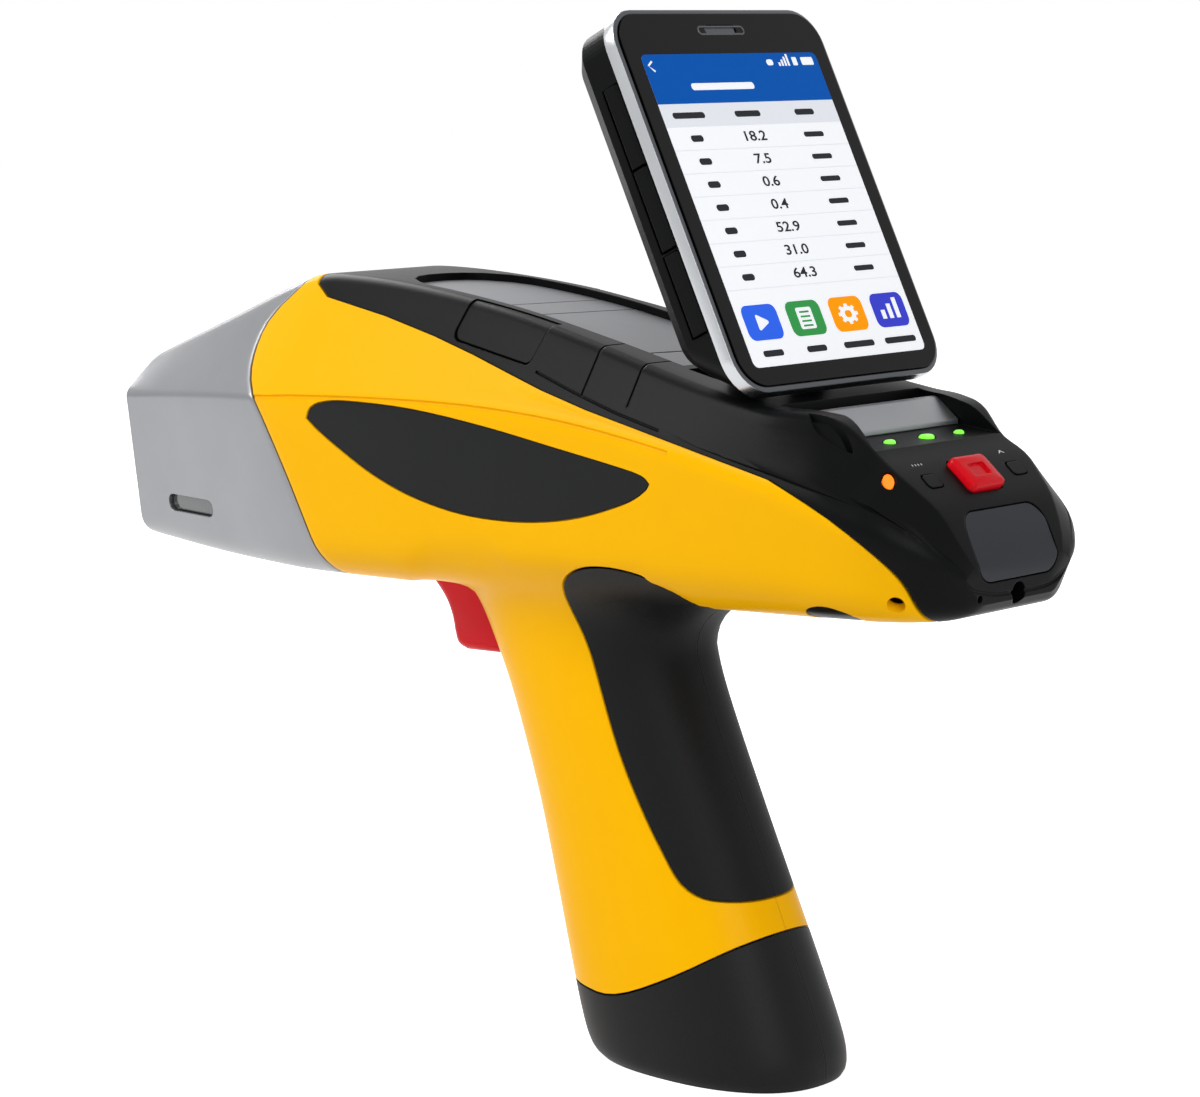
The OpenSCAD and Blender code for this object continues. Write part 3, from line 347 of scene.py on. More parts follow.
def surface(name, colour, roughness, metallic=0.0, grain=0.0, grain_mm=0.35, edge_mm=0.35, shade=0.04, coat=0.0,
            specular=0.5, glow=None, glow_strength=0.0):
    """Solid finish: slow shift of colour over 20 mm, grain of a real size as bump, and worn-round edges."""
    made = bpy.data.materials.new(name)
    made.use_nodes = True
    tree = made.node_tree
    shader = tree.nodes["Principled BSDF"]
    for socket, value in (("Roughness", roughness), ("Metallic", metallic), ("Coat Weight", coat),
                          ("Specular IOR Level", specular)):
        shader.inputs[socket].default_value = value
    if glow:
        shader.inputs["Emission Color"].default_value = srgb(glow)
        shader.inputs["Emission Strength"].default_value = glow_strength
    place = add(tree, "TexCoord")
    cloud = add(tree, "TexNoise", {"Scale": 50, "Detail": 3}, {"Vector": place.outputs["Object"]})
    tint = add(tree, "ValToRGB", links={"Fac": cloud.outputs["Fac"]})
    for element, position, factor in zip(tint.color_ramp.elements, (0.3, 0.7), (1 - shade, 1 + shade)):
        element.position = position
        element.color = [min(c * factor, 1) for c in srgb(colour)[:3]] + [1]
    tree.links.new(tint.outputs["Color"], shader.inputs["Base Color"])
    rounding = add(tree, "Bevel", {"Radius": edge_mm * MM}, samples=6)
    normal = rounding.outputs["Normal"]
    if grain:
        speck = add(tree, "TexNoise", {"Scale": 1 / (grain_mm * MM), "Detail": 2},
                    {"Vector": place.outputs["Object"]})
        normal = add(tree, "Bump", {"Strength": grain, "Distance": 0.08 * MM},
                     {"Height": speck.outputs["Fac"], "Normal": normal}).outputs["Normal"]
    tree.links.new(normal, shader.inputs["Normal"])
    return made


def finished(piece, look, body=None, replaces=(), sharp_degrees=32):
    """Smooth shading between sharp edges, the material and, for a new piece, its body, with the nodes it replaces
    hidden.
    """
    mesh = piece.data
    mesh.polygons.foreach_set("use_smooth", [True] * len(mesh.polygons))
    mesh.set_sharp_from_angle(angle=math.radians(sharp_degrees))
    mesh.materials.clear()
    mesh.materials.append(look)
    if body:
        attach(piece, body)
    if replaces:
        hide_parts(*replaces)
    return piece


# Satin silver lacquer over ABS: flakes 0.25 mm apart give a fine sparkle, and reflections are broad and soft.
silver_lacquer = surface("silver_lacquer_on_ABS", "#88898C", 0.33, metallic=0.75, grain=0.12, grain_mm=0.25)
# Unpainted glass-filled nylon, dark and dull, as inside the nose and on the window plate.
black_nylon = surface("glass_filled_nylon", "#151617", 0.5, grain=0.3, specular=0.15)
# Amber polyimide film, which seals the window and has a bright gloss.
window_foil = surface("polyimide_film", "#B98A3C", 0.15, coat=0.5, edge_mm=0.05)

WINDOW_Z = UNDER + 27
LIGHT_SLOT = (-107, UNDER + 12)
nose = lofted("nose", skin_rings([lipped_row(v, NOSE_END, nose_line[v] - SEAM_GAP / 2, 40) for v in range(ROWS)]))
cut(nose, stacked("window_tool", box_outline(28, 22, 3), [(0, -9), (0, 9)],
                  facing((-1, 0, 0), (NOSE_END, 0, WINDOW_Z))))
slot_outline = box_outline(20, 4.4, 2.15)
for side in (-1, 1):
    cut(nose, stacked("slot_tool", slot_outline, [(0, 20), (0, 45)],
                      facing((0, side, 0), (LIGHT_SLOT[0], 0, LIGHT_SLOT[1]))))
finished(nose, silver_lacquer, "housing", ["nose_cover"])
finished(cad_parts["window_plate"], black_nylon)
finished(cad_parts["window_film"], window_foil)

# --- Warning lights -----------------------------------------------------------------
# One bar of smoked acrylic in each slot of the nose, pressed in from inside, over a row of small lamps.
# Smoked acrylic: dark and glossy, its tone shifting slowly at random by a tenth.
smoked_acrylic = surface("smoked_acrylic", "#3A3C3F", 0.12, coat=0.6, shade=0.1, edge_mm=0.2)
light_bars = None
for side in (-1, 1):
    bar = stacked("light_bar", shifted_outline(slot_outline, -0.3), [(-0.5, 20), (0, 20.5), (0, 45)],
                  facing((0, side, 0), (LIGHT_SLOT[0], 0, LIGHT_SLOT[1])))
    layer_in = lofted("layer_in", [[skin(x, v, 2.2) for v in range(ROWS)] for x in spaced(-130, -84, 30)])
    layer_out = lofted("layer_out", [[skin(x, v, 1.3) for v in range(ROWS)] for x in spaced(-130, -84, 30)])
    cut(bar, layer_in)
    cut(bar, layer_out, "INTERSECT")
    light_bars = bar if light_bars is None else cut(light_bars, bar, "UNION")
light_bars.name = "warning_light_bars"
finished(light_bars, smoked_acrylic, "housing", ["warning_lights"])

# --- Yellow shells ------------------------------------------------------------------
# Left and right halves of the body and handle in yellow ABS, screwed together along the middle, with
# recesses for the badges and rubber grips and a slot for the trigger.
HANDLE = [
    [0, 31, 31, 21.4], [2, 32.6, 32.6, 22.8], [8, 33.4, 34, 23], [24, 32.6, 33.4, 22],
    [40, 31.4, 32, 20.9], [60, 30, 30, 20], [83, 29.6, 27.6, 20], [94, 30.4, 27.2, 20.4],
    [102, 31.4, 28.6, 21.4], [106.5, 32, 32, 22.6], [110, 33, 41, 25], [117, 35, 58, 27],
]
FOOT_X, LEAN, OVAL = 47, math.tan(math.radians(20)), 2.35


def handle_ring(z, inset=0.0):
    """Oval ring of the handle at height z: reach ahead of and behind its axis, and half-width."""
    front, back, side = (column(HANDLE, k, z) - inset for k in (1, 2, 3))
    ring = []
    for i in range(96):
        c, s = math.cos(math.radians(i * 3.75)), math.sin(math.radians(i * 3.75))
        x = (back - front) / 2 + (back + front) / 2 * math.copysign(abs(c) ** (2 / OVAL), c)
        ring.append((FOOT_X - z * LEAN + x, side * math.copysign(abs(s) ** (2 / OVAL), s), z))
    return ring


def handle_core(name, inset, z0, z1):
    return lofted(name, [handle_ring(z, inset) for z in spaced(z0, z1, 48)])


def body_core(name, inset, x0, x1):
    """Solid under the body's skin, inset from it, between two places."""
    return lofted(name, [[skin(x, v, inset) for v in range(ROWS)] for x in spaced(x0, x1, 60)])


def band_row(v):
    """Row of the yellow band, with a rolled lip at both seams."""
    a, b = nose_line[v] + SEAM_GAP / 2, cover_line[v] - SEAM_GAP / 2
    roll = min(LIP, (b - a) / 4)
    row = [skin(a, v, roll), skin(a + roll * 0.3, v, roll * 0.3)]
    row += [skin(x, v) for x in spaced(a + roll, b - roll, 90)]
    row += [skin(b - roll * 0.3, v, roll * 0.3), skin(b, v, roll)]
    return row + [skin(x, v, WALL) for x in spaced(b, a, 60)]


form = lofted("form", skin_rings([band_row(v) for v in range(ROWS)]), joined_up=True)
cut(form, handle_core("handle_solid", 0, 1, 117), "UNION")

# The corner where the handle leaves the body is relaxed into a soft fillet.
work = bmesh.new()
work.from_mesh(form.data)
corner_verts = []
for vert in work.verts:
    x, y, z = vert.co / MM
    if 99 < z < 121 and not (z > 113 and abs(y) < 20):
        front, back, side = (column(HANDLE, k, min(z, 117)) for k in (1, 2, 3))
        middle = FOOT_X - z * LEAN + (back - front) / 2
        reach = ((abs(x - middle) / ((front + back) / 2)) ** OVAL + (abs(y) / side) ** OVAL) ** (1 / OVAL)
        if 0.93 < reach < 1.4:
            corner_verts.append(vert)
for step in range(14):
    bmesh.ops.smooth_vert(work, verts=corner_verts, factor=0.5, use_axis_x=True, use_axis_y=True, use_axis_z=True)
work.to_mesh(form.data)
work.free()

cut(form, handle_core("handle_room", WALL, -2, 120))
cut(form, body_core("body_room", WALL + 0.05, -60, 110))


def copied(piece, name):
    twin = bpy.data.objects.new(name, piece.data.copy())
    bpy.context.scene.collection.objects.link(twin)
    return twin


grip_form = copied(form, "grip_form")
# Fine groove along the crease of each side, from the nose to the middle of the body
for row in (27, ROWS - 27):
    rings = []
    for x in spaced(-79, 62, 50):
        at = skin(x, row)
        rings.append([at + Vector((0, 0.5 * math.cos(a), 0.5 * math.sin(a))) for a in
                      (math.radians(45 * k) for k in range(8))])
    cut(form, lofted("crease_groove", rings))
GRIP_EDGE = spline([(88, 43), (62, 42.5), (51, 45), (43.5, 54), (36, 66), (30, 78), (24, 94), (20.5, 108),
                    (23, 115), (29.5, 119.6), (38, 121.6), (48, 121.2), (60, 118), (72, 114.2), (86, 110.5),
                    (110, 108)], 5) + [(110, 43)]
GRIP_T = 1.6


def grip_tool(gap, y0, y1, depth):
    """Outer layer of the handle inside the grip's outline, below the underside."""
    tool = across("grip_tool", shifted_outline(GRIP_EDGE, gap), y0, y1)
    cut(tool, handle_core("grip_reach", -12, 38, 126), "INTERSECT")
    return cut(tool, handle_core("under_grip", depth, 20, 126))


cut(form, grip_tool(SEAM_GAP / 2, -60, 60, GRIP_T + 0.1))
BADGE_TOP = above([(-55, 39), (-53.4, 41.6), (-49, 43.4), (-40, 44.3), (-18, 44), (6, 41.6), (28, 38.4), (47, 35.6),
                   (54, 34.2), (56.2, 32.6)])
BADGE_FOOT = above([(56.2, 32.6), (54.4, 30.6), (48, 27.2), (34, 22.8), (20, 20.4), (6, 19.7), (-7, 20.4), (-21, 23),
                    (-33, 27), (-43, 31.8), (-51, 36.2), (-55, 39)])
BADGE = spline(BADGE_TOP, 4)[:-1] + spline(BADGE_FOOT, 4)[:-1]
BADGE_T = 0.9


def badge_tool(name, gap, side, low, high):
    """Layer of the body inside the badge's outline on one side, between two depths."""
    tool = across(name, shifted_outline(BADGE, gap), *((-60, -15) if side < 0 else (15, 60)))
    cut(tool, body_core("under_badge", high, -70, 100))
    if low is not None:
        cut(tool, body_core("over_badge", low, -70, 100), "INTERSECT")
    return tool


for side in (-1, 1):
    cut(form, badge_tool("badge_room", 0.16, side, None, BADGE_T + 0.1))
TRIGGER_SLOT = above([(-46.5, 5), (-45.5, -3), (-33, -19), (-4, -22), (2, -8), (2, 5)])
cut(form, across("trigger_room", TRIGGER_SLOT, -9.6, 9.6))
FOOT_SEAM = spline([(-10, 17), (18, 17), (33, 17.8), (50, 25), (66, 34.5), (77, 39.5), (110, 43)], 4)
cut(form, across("foot_room", [(x, z + SEAM_GAP / 2) for x, z in FOOT_SEAM] + [(110, -20), (-10, -20)], -60, 60))
LENS_OVAL = [(7.2 * math.cos(math.radians(12 * k)), 5.4 * math.sin(math.radians(12 * k))) for k in range(30)]


def chine_frame(side, x, y, z, outwards):
    """Frame on the rounded lower edge of the body, local Z outwards."""
    return facing((outwards[0], side * outwards[1], outwards[2]), (x, side * y, z))


LENS_PLACE = (100.5, 25.4, UNDER + 5.95, (0.04, 0.34, -0.94))
HOLE_PLACE = (118.5, 27.4, UNDER + 11.2, (0.35, 0.64, -0.76))
for side in (-1, 1):
    cut(form, stacked("lens_room", LENS_OVAL, [(0, -9), (0, 9)], chine_frame(side, *LENS_PLACE)))
    cut(form, stacked("hole_room", box_outline(4, 4, 1.99), [(0, -9), (0, 9)], chine_frame(side, *HOLE_PLACE)))


def half_of(piece, name, side):
    """The part of a piece on one side of the middle plane, closed there, with a hairline gap."""
    half = copied(piece, name)
    work = bmesh.new()
    work.from_mesh(half.data)
    sliced = bmesh.ops.bisect_plane(work, geom=work.verts[:] + work.edges[:] + work.faces[:], dist=1e-7,
                                    plane_co=(0, side * 0.06 * MM, 0), plane_no=(0, side, 0), clear_inner=True)
    bmesh.ops.triangle_fill(work, edges=[e for e in sliced["geom_cut"] if isinstance(e, bmesh.types.BMEdge)],
                            use_beauty=True)
    work.to_mesh(half.data)
    work.free()
    return half


# Moulded ABS, coloured through: clean strong yellow, satin, with a fine spark-eroded grain.
yellow_abs = surface("moulded_yellow_ABS", "#FFBC00", 0.34, grain=0.1, grain_mm=0.3, shade=0.012, specular=0.05)
for side, name in ((-1, "left"), (1, "right")):
    finished(half_of(form, name + "_yellow_shell", side), yellow_abs, "housing", [name + "_shell"])
bpy.data.objects.remove(form)

# --- Rubber grips -------------------------------------------------------------------
# Soft black pads bonded into a recess round the back and sides of the handle, one on each half.
# Thermoplastic rubber, dull and dark, with a moulded texture of 0.5 mm pips.
grip_rubber = surface("moulded_rubber", "#101112", 0.55, grain=0.7, grain_mm=0.5, specular=0.12)
for side, name in ((-1, "left"), (1, "right")):
    grip = copied(grip_form, name + "_rubber_grip")
    y0, y1 = (-60, -0.06) if side < 0 else (0.06, 60)
    cut(grip, grip_tool(-SEAM_GAP / 2, y0, y1, GRIP_T), "INTERSECT")
    finished(grip, grip_rubber, "housing", [name + "_grip"])
bpy.data.objects.remove(grip_form)

# --- Side badges --------------------------------------------------------------------
# Bare leaf-shaped plates glued into a shallow recess on each side, left without any print.
# Textured polycarbonate sheet, dark grey and almost matt.
badge_sheet = surface("matt_polycarbonate_sheet", "#161718", 0.42, grain=0.15, specular=0.1)
for side, name in ((-1, "left"), (1, "right")):
    plate = badge_tool(name + "_plate", -0.12, side, 0.25, BADGE_T)
    finished(plate, badge_sheet, "housing", [name + "_badge"])

# --- Trigger ------------------------------------------------------------------------
# Red moulded lever that turns on a steel pin under the body and presses a small switch behind it. It is
# moulded in one piece of ABS, with a curved front for the finger and rounded sides.
TRIGGER_PIVOT = (-13, UNDER + 5)
TRIGGER_HALF = 8.9
trigger_outline = spline([(-31, -4.6), (-26.5, -8), (-22.8, -12), (-20.8, -16), (-19.8, -20), (-18.6, -22.6),
                          (-15.5, -23.8)], 4) + [(-5, -23.4), (2.5, -21.5), (4, -12), (3.8, 2), (0, 4), (-10, 3.4),
                                                 (-28, -1.4)]
trigger_outline = [(TRIGGER_PIVOT[0] + x, TRIGGER_PIVOT[1] + z) for x, z in trigger_outline]
# Glossy red ABS: bright highlights along its rounded edges.
red_abs = surface("glossy_red_ABS", "#DA0418", 0.26, grain=0.05, shade=0.01, specular=0.12)
trigger = stacked("trigger_lever", trigger_outline,
                  [(-2.0, -TRIGGER_HALF), (-0.9, -TRIGGER_HALF + 0.35), (-0.25, -TRIGGER_HALF + 1.0),
                   (0, -TRIGGER_HALF + 2.0), (0, TRIGGER_HALF - 2.0), (-0.25, TRIGGER_HALF - 1.0),
                   (-0.9, TRIGGER_HALF - 0.35), (-2.0, TRIGGER_HALF)], ACROSS)
finished(trigger, red_abs, "trigger", ["trigger"], 40)
# Hardened steel, ground bright: pins, spring and screws.
ground_steel = surface("ground_steel", "#A3A5A8", 0.28, metallic=1.0, grain=0.05, edge_mm=0.15)
for name in ("trigger_pin", "trigger_spring", "shell_screws"):
    finished(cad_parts[name], ground_steel)
for name in ("trigger_bracket", "trigger_switch"):
    finished(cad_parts[name], black_nylon)

# --- Chassis and X-ray parts --------------------------------------------------------
# Folded aluminium plate that carries the tube, detector, filter wheel, supply and boards inside the shells.
# Milled aluminium, bright, with a fine satin from the cutter.
milled_aluminium = surface("milled_aluminium", "#C3C5C8", 0.32, metallic=1.0, grain=0.1, grain_mm=0.3)
# Turned brass of the tube and filter wheel, warm and bright.
turned_brass = surface("turned_brass", "#C9A25A", 0.25, metallic=1.0, grain=0.08, grain_mm=0.2)
# Printed board: green solder mask, glossy over the glass weave.
solder_mask = surface("solder_mask_on_glass_fibre", "#1E5A32", 0.3, grain=0.15, grain_mm=0.6, coat=0.3)
for name in ("chassis", "nose_block", "heat_sink", "high_voltage_supply", "detector", "filter_motor"):
    finished(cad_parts[name], milled_aluminium)
for name in ("xray_tube", "filter_wheel", "battery_contacts"):
    finished(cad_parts[name], turned_brass)
for name in ("main_board", "control_board", "port_board", "display_board"):
    finished(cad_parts[name], solder_mask)

# --- Roof cover ---------------------------------------------------------------------
# One long black moulding from the front of the roof down to the tail. It clips over the yellow shells
# and holds the hinge well, the latches, the lights, the keys and the flap.
BUTTON_GAP = 0.35
cover = lofted("roof_cover",
               skin_rings([lipped_row(v, TAIL_END, cover_line[v] + SEAM_GAP / 2, 120) for v in range(ROWS)]))
HINGE_X, HINGE_Z = ((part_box("hinge_pin")[0][k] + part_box("hinge_pin")[1][k]) / 2 / MM for k in (0, 2))


def roof_z(x):
    return section(x)[HALF_ROWS - 1][1]


def layer(tool, top, bottom):
    """The part of a tool that lies between two depths under the body's skin."""
    cut(tool, body_core("layer_top", top, -76, TAIL_END - 0.05 - top * 0.5), "INTERSECT")
    if bottom is not None:
        cut(tool, body_core("layer_bottom", bottom, -77, TAIL_END - 0.05 - bottom * 0.5))
    return tool


def plan(name, outline, z0=140.0, z1=200.0):
    """Slab of an outline seen from above (x, y)."""
    return stacked(name, outline, [(0, z0), (0, z1)])


def mirrored_plan(points):
    return points + [(x, -y) for x, y in reversed(points)]


def roof_frame(x):
    """Frame on the roof's middle line at x: local X down the roof, local Z out of it."""
    down = Vector((2, 0, roof_z(x + 1) - roof_z(x - 1))).normalized()
    turn = Matrix((down, (0, 1, 0), down.cross(Vector((0, 1, 0))))).transposed().to_4x4()
    turn.translation = Vector((x, 0, roof_z(x)))
    return turn


# Long shallow channel in the roof for the grey inlay
CHANNEL = mirrored_plan([(-46, 3), (-44.6, 8), (-41.5, 12.4), (-36, 16), (-30, 17.6), (-14, 18.2),
                         (HINGE_X - 12, 18.7)])
CHANNEL_DEPTH = 1.8
cut(cover, layer(plan("channel", CHANNEL), -1, CHANNEL_DEPTH + 1.1))
# Floor under the hinge well and the dip, so that neither opens into the body
dip_floor = roof_z(99) - 5.4
under_pockets = across("under_pockets", [(HINGE_X - 11.5, HINGE_Z - 8.4), (HINGE_X + 17, HINGE_Z - 8.4),
                                         (84, dip_floor - 2), (99, dip_floor - 2), (110, roof_z(109) - 3), (110, 200),
                                         (HINGE_X - 11.5, 200)], -26, 26)
cut(under_pockets, body_core("under_skin", 1.2, 40, 122), "INTERSECT")
cut(cover, under_pockets, "UNION")
# Hinge well, and behind the display a dip that holds the hinge bar and the status lights
cut(cover, across("well", [(HINGE_X - 9.5, HINGE_Z - 6.4), (HINGE_X + 15, HINGE_Z - 6.4), (HINGE_X + 15, 200),
                           (HINGE_X - 9.5, 200)], -20, 20))
dip = plan("dip", mirrored_plan([(84, 25.2), (99, 20.9), (109, 22.9)]), 140, 205)
cut(dip, across("dip_side", [(83, 210), (83, dip_floor), (99, dip_floor), (109, roof_z(109) + 0.02), (109, 210)],
                -60, 60), "INTERSECT")
cut(cover, dip)
# Almond-shaped slots in the shoulders beside the bar
for side in (-1, 1):
    almond = [(94, 27.6), (97, 29.2), (101, 29), (106, 27), (102.5, 26), (98, 26.2)]
    almond = spline(almond + almond[:1], 4)[:-1]
    cut(cover, layer(plan("almond", [(x, side * y) for x, y in almond]), -1, 1.7))
# Joint lines in the rim, and the step line along the side from the latch towards the tail
step_path = above([(17, 54.8), (30, 51.2), (45, 47.4), (58, 44.6)])
for side in (-1, 1):
    ribbon = [(x, z + 0.25) for x, z in step_path] + [(x, z - 0.25) for x, z in reversed(step_path)]
    cut(cover, layer(across("step_line", ribbon, *((-60, -22) if side < 0 else (22, 60))), -1, 0.45))
    for x in (33, 47):
        low, high = sorted((side * 18.8, side * 34))
        line = [(x - 0.25, low), (x + 0.25, low), (x + 0.25, high), (x - 0.25, high)]
        cut(cover, layer(plan("joint", line), -1, 0.4))

# Black ABS with a spark-eroded grain of 0.3 mm, which keeps it dull and lifts its edges.
black_abs = surface("moulded_black_ABS", "#090A0B", 0.36, grain=0.3, grain_mm=0.3, specular=0.06)
# Silver-grey lacquer on the inlay, satin.
inlay_lacquer = surface("grey_lacquer_on_ABS", "#85868A", 0.42, metallic=0.3, grain=0.1, specular=0.15)
inlay = layer(plan("roof_inlay", shifted_outline(CHANNEL, -0.25)), CHANNEL_DEPTH, CHANNEL_DEPTH + 1)
for x, long in ((-12, 0.5), (-1, 0.5), (34, 0.6)):
    cut(inlay, layer(plan("inlay_groove", [(x, -30), (x + long, -30), (x + long + 5, 30), (x + 5, 30)]), -1,
                     CHANNEL_DEPTH + 0.35))
finished(inlay, inlay_lacquer, "housing", ["deck_inlay"])

# --- Latches ------------------------------------------------------------------------
# Press buttons on both rims of the roof that free the display. They are cut to the cover's own curve in
# the same black ABS, and slide 1.2 mm inwards under its lip.
LATCH_X, LATCH_LONG, LATCH_INNER, LATCH_DROP = 2, 27, 21.4, 9.2


def latch_tool(name, side, gap, travel=0.0):
    half = LATCH_LONG / 2 + gap
    outline = rounded_outline([(-half, -LATCH_DROP - gap), (half, -LATCH_DROP - gap), (half, 20), (-half, 20)],
                              [2.6, 1.4, 0, 0])
    inner = LATCH_INNER - gap - travel
    y0, y1 = (-60, -inner) if side < 0 else (inner, 60)
    return stacked(name, outline, [(0, -y0), (0, -y1)], roof_frame(LATCH_X) @ ACROSS)


for side, name in ((-1, "left"), (1, "right")):
    cut(cover, latch_tool("latch_room", side, BUTTON_GAP))
    cut(cover, layer(latch_tool("latch_travel", side, BUTTON_GAP, 1.3), 0.2, None))
    finished(layer(latch_tool(name + "_latch_button", side, 0), 0.3, 3.4), black_abs, name + "_latch",
             [name + "_latch"])

# --- Tail keys and lights -----------------------------------------------------------
# Red power button between two small keys, green status lights in the dip and an orange light on each
# shoulder. The buttons are moulded caps over switches on the control board.
POWER_X = KEY_X = 118.4
power_outline = box_outline(9.3, 12.2, 1.5, y=0.5)


def key_outline(side, gap):
    return box_outline(3.7 + gap * 2, 4.9 + gap * 2, 1.1, y=side * 15.5 + 0.5)


cut(cover, stacked("power_room", shifted_outline(power_outline, BUTTON_GAP), [(0, -8), (0, 8)], roof_frame(POWER_X)))
for side in (-1, 1):
    cut(cover, stacked("key_room", key_outline(side, 0.3), [(0, -8), (0, 8)], roof_frame(KEY_X)))
power = stacked("power_cap", power_outline, [(0, -3), (0, 1.0), (-0.25, 1.5), (-1.0, 1.9)])
cut(power, stacked("power_mark", box_outline(3.6, 6, 0.5, y=0.5), [(0, 1.3), (0, 4)]))
power.data.transform(Matrix.Translation(roof_frame(POWER_X).translation * MM) @ roof_frame(POWER_X).to_3x3().to_4x4())
finished(power, red_abs, "power_button", ["power_button"])
for side, name in ((-1, "left"), (1, "right")):
    key = layer(stacked(name + "_small_key", key_outline(side, 0), [(0, -8), (0, 8)], roof_frame(KEY_X)), -0.2, 3)
    finished(key, black_abs, name + "_key", [name + "_key"])

# White marks pad-printed in front of the small keys: bars on one side, a house on the other. Each stroke runs
# between two places (up the roof, to the right) about a middle in front of its key.
white_ink = surface("white_pad_printing_ink", "#E4E5E6", 0.5, specular=0.2)
HALF_STROKE, MARK_AHEAD = 0.14, 4.4
BARS = [((-1, y), (1, y)) for y in (-1.6, -0.5, 0.5, 1.6)]
HOUSE = [((0, -1.5), (1.4, 0)), ((1.4, 0), (0, 1.5)), ((0.2, -1), (-1.1, -1)), ((-1.1, -1), (-1.1, 1)),
         ((-1.1, 1), (0.2, 1))]
for side, name, strokes in ((-1, "left_key_mark", BARS), (1, "right_key_mark", HOUSE)):
    middle = Vector((-MARK_AHEAD, side * 15.5 + 0.5))
    mark = None
    for (up0, y0), (up1, y1) in strokes:
        start, end = middle + Vector((-up0, y0)), middle + Vector((-up1, y1))
        along = (end - start).normalized() * HALF_STROKE
        off = Vector((-along.y, along.x))
        stroke = stacked(name, [start - along - off, end + along - off, end + along + off, start - along + off],
                         [(0, -8), (0, 8)], roof_frame(KEY_X))
        mark = stroke if mark is None else cut(mark, stroke, "UNION")
    finished(layer(mark, -0.04, 0.3), white_ink, "housing")

STATUS_X = 104.6
# Place, half-length and half-width of each light
STATUS_LIGHTS = ((-12.2, 1.6, 1.0), (1.2, 2.2, 1.3), (13.2, 1.4, 0.9))
slope_fall = (dip_floor - roof_z(109)) / (99 - 109)
slope_frame = facing((-slope_fall, 0, 1), (STATUS_X, 0, dip_floor + slope_fall * (STATUS_X - 99)), up=(-1, 0, 0))
# Clear green and orange polycarbonate over lit lamps, glowing evenly in its colour.
green_lens = surface("lit_green_polycarbonate", "#7BE03A", 0.25, glow="#63F02A", glow_strength=1.1, coat=0.2)
orange_lens = surface("lit_orange_polycarbonate", "#FF7A00", 0.25, glow="#FF7200", glow_strength=0.9, coat=0.2)
status_lights = None
for y, long, wide in STATUS_LIGHTS:
    ring = [(y + long * math.cos(math.radians(15 * k)), wide * math.sin(math.radians(15 * k))) for k in range(24)]
    cut(cover, stacked("status_room", ring, [(0.5, -9), (0.2, -0.7), (0.5, 0), (0.7, 0.2), (0.7, 9)], slope_frame))
    lens = stacked("status_lens", ring, [(0.1, -3), (0.1, 0.1), (-0.2, 0.45), (-0.7, 0.6)], slope_frame)
    status_lights = lens if status_lights is None else cut(status_lights, lens, "UNION")
status_lights.name = "green_status_lights"
finished(status_lights, green_lens, "housing", ["status_lights"])
side_lights = None
for side in (-1, 1):
    slope = facing((0.62, side * 0.50, 0.60), (113.8, side * 25, UNDER + 36.3))
    oval = [(1.25 * math.cos(math.radians(15 * i)), 1.9 * math.sin(math.radians(15 * i))) for i in range(24)]
    cut(cover, stacked("shoulder_room", oval, [(0.35, -9), (0.35, 12)], slope))
    lens = stacked("shoulder_lens", oval, [(0, -9), (0, 12)], slope)
    lens = layer(lens, 0.35, 2.3)
    side_lights = lens if side_lights is None else cut(side_lights, lens, "UNION")
side_lights.name = "orange_shoulder_lights"
finished(side_lights, orange_lens, "housing", ["side_lights"])

# --- Port flap and charger socket -----------------------------------------------------
# Rubber flap that folds down over the data sockets, and below it the round socket of the charger. The flap
# is one piece of soft silicone, pressed into a recess of the cover.
FLAP_Z, FLAP_HIGH, FLAP_WIDE, FLAP_CORNER = UNDER + 22.6, 14.6, 29, 4.5


def flap_tool(name, gap):
    outline = box_outline(FLAP_HIGH + gap * 2, FLAP_WIDE + gap * 2, FLAP_CORNER + gap, steps=8)
    return stacked(name, outline, [(0, -20), (0, 20)], facing((1, 0, 0), (TAIL_END, 0, FLAP_Z), up=(0, 1, 0)))


cut(cover, layer(flap_tool("flap_room", BUTTON_GAP), -1, 2.1))
cut(cover, stacked("socket_room", box_outline(5, 5, 2.49), [(0, -12), (0, 12)],
                   facing((1, 0, 0), (TAIL_END, 0, UNDER + 11.8), up=(0, 1, 0))))
# Fine groove across the tail under the flap, and the pin hole of the wrist strap
tail_line = spline([(-20.5, 127.2), (-17.2, 124.4), (-12, 123), (-5.5, 122.2), (10.3, 122.2), (17.5, 124.4),
                    (20.5, 127.2)], 4)
rings = [[(TAIL_END + 0.1 + 0.5 * math.cos(math.radians(45 * k)), y, z + 0.5 * math.sin(math.radians(45 * k)))
          for k in range(8)] for y, z in tail_line]
cut(cover, lofted("tail_groove", rings))
cut(cover, stacked("pin_hole", box_outline(1.7, 1.7, 0.84), [(0, -3), (0, 12)],
                   facing((1, 0, 0), (TAIL_END, -14.2, 122), up=(0, 1, 0))))
# Silicone rubber, a cooler and smoother black than the cover.
flap_silicone = surface("silicone_rubber", "#1E2128", 0.42, grain=0.3, specular=0.2)
finished(layer(flap_tool("rear_flap", 0), 0, 1.8), flap_silicone, "port_flap", ["port_flap"])
finished(cover, black_abs, "housing", ["top_cover"])
finished(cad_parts["power_jack"], black_nylon)
finished(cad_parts["data_sockets"], ground_steel)
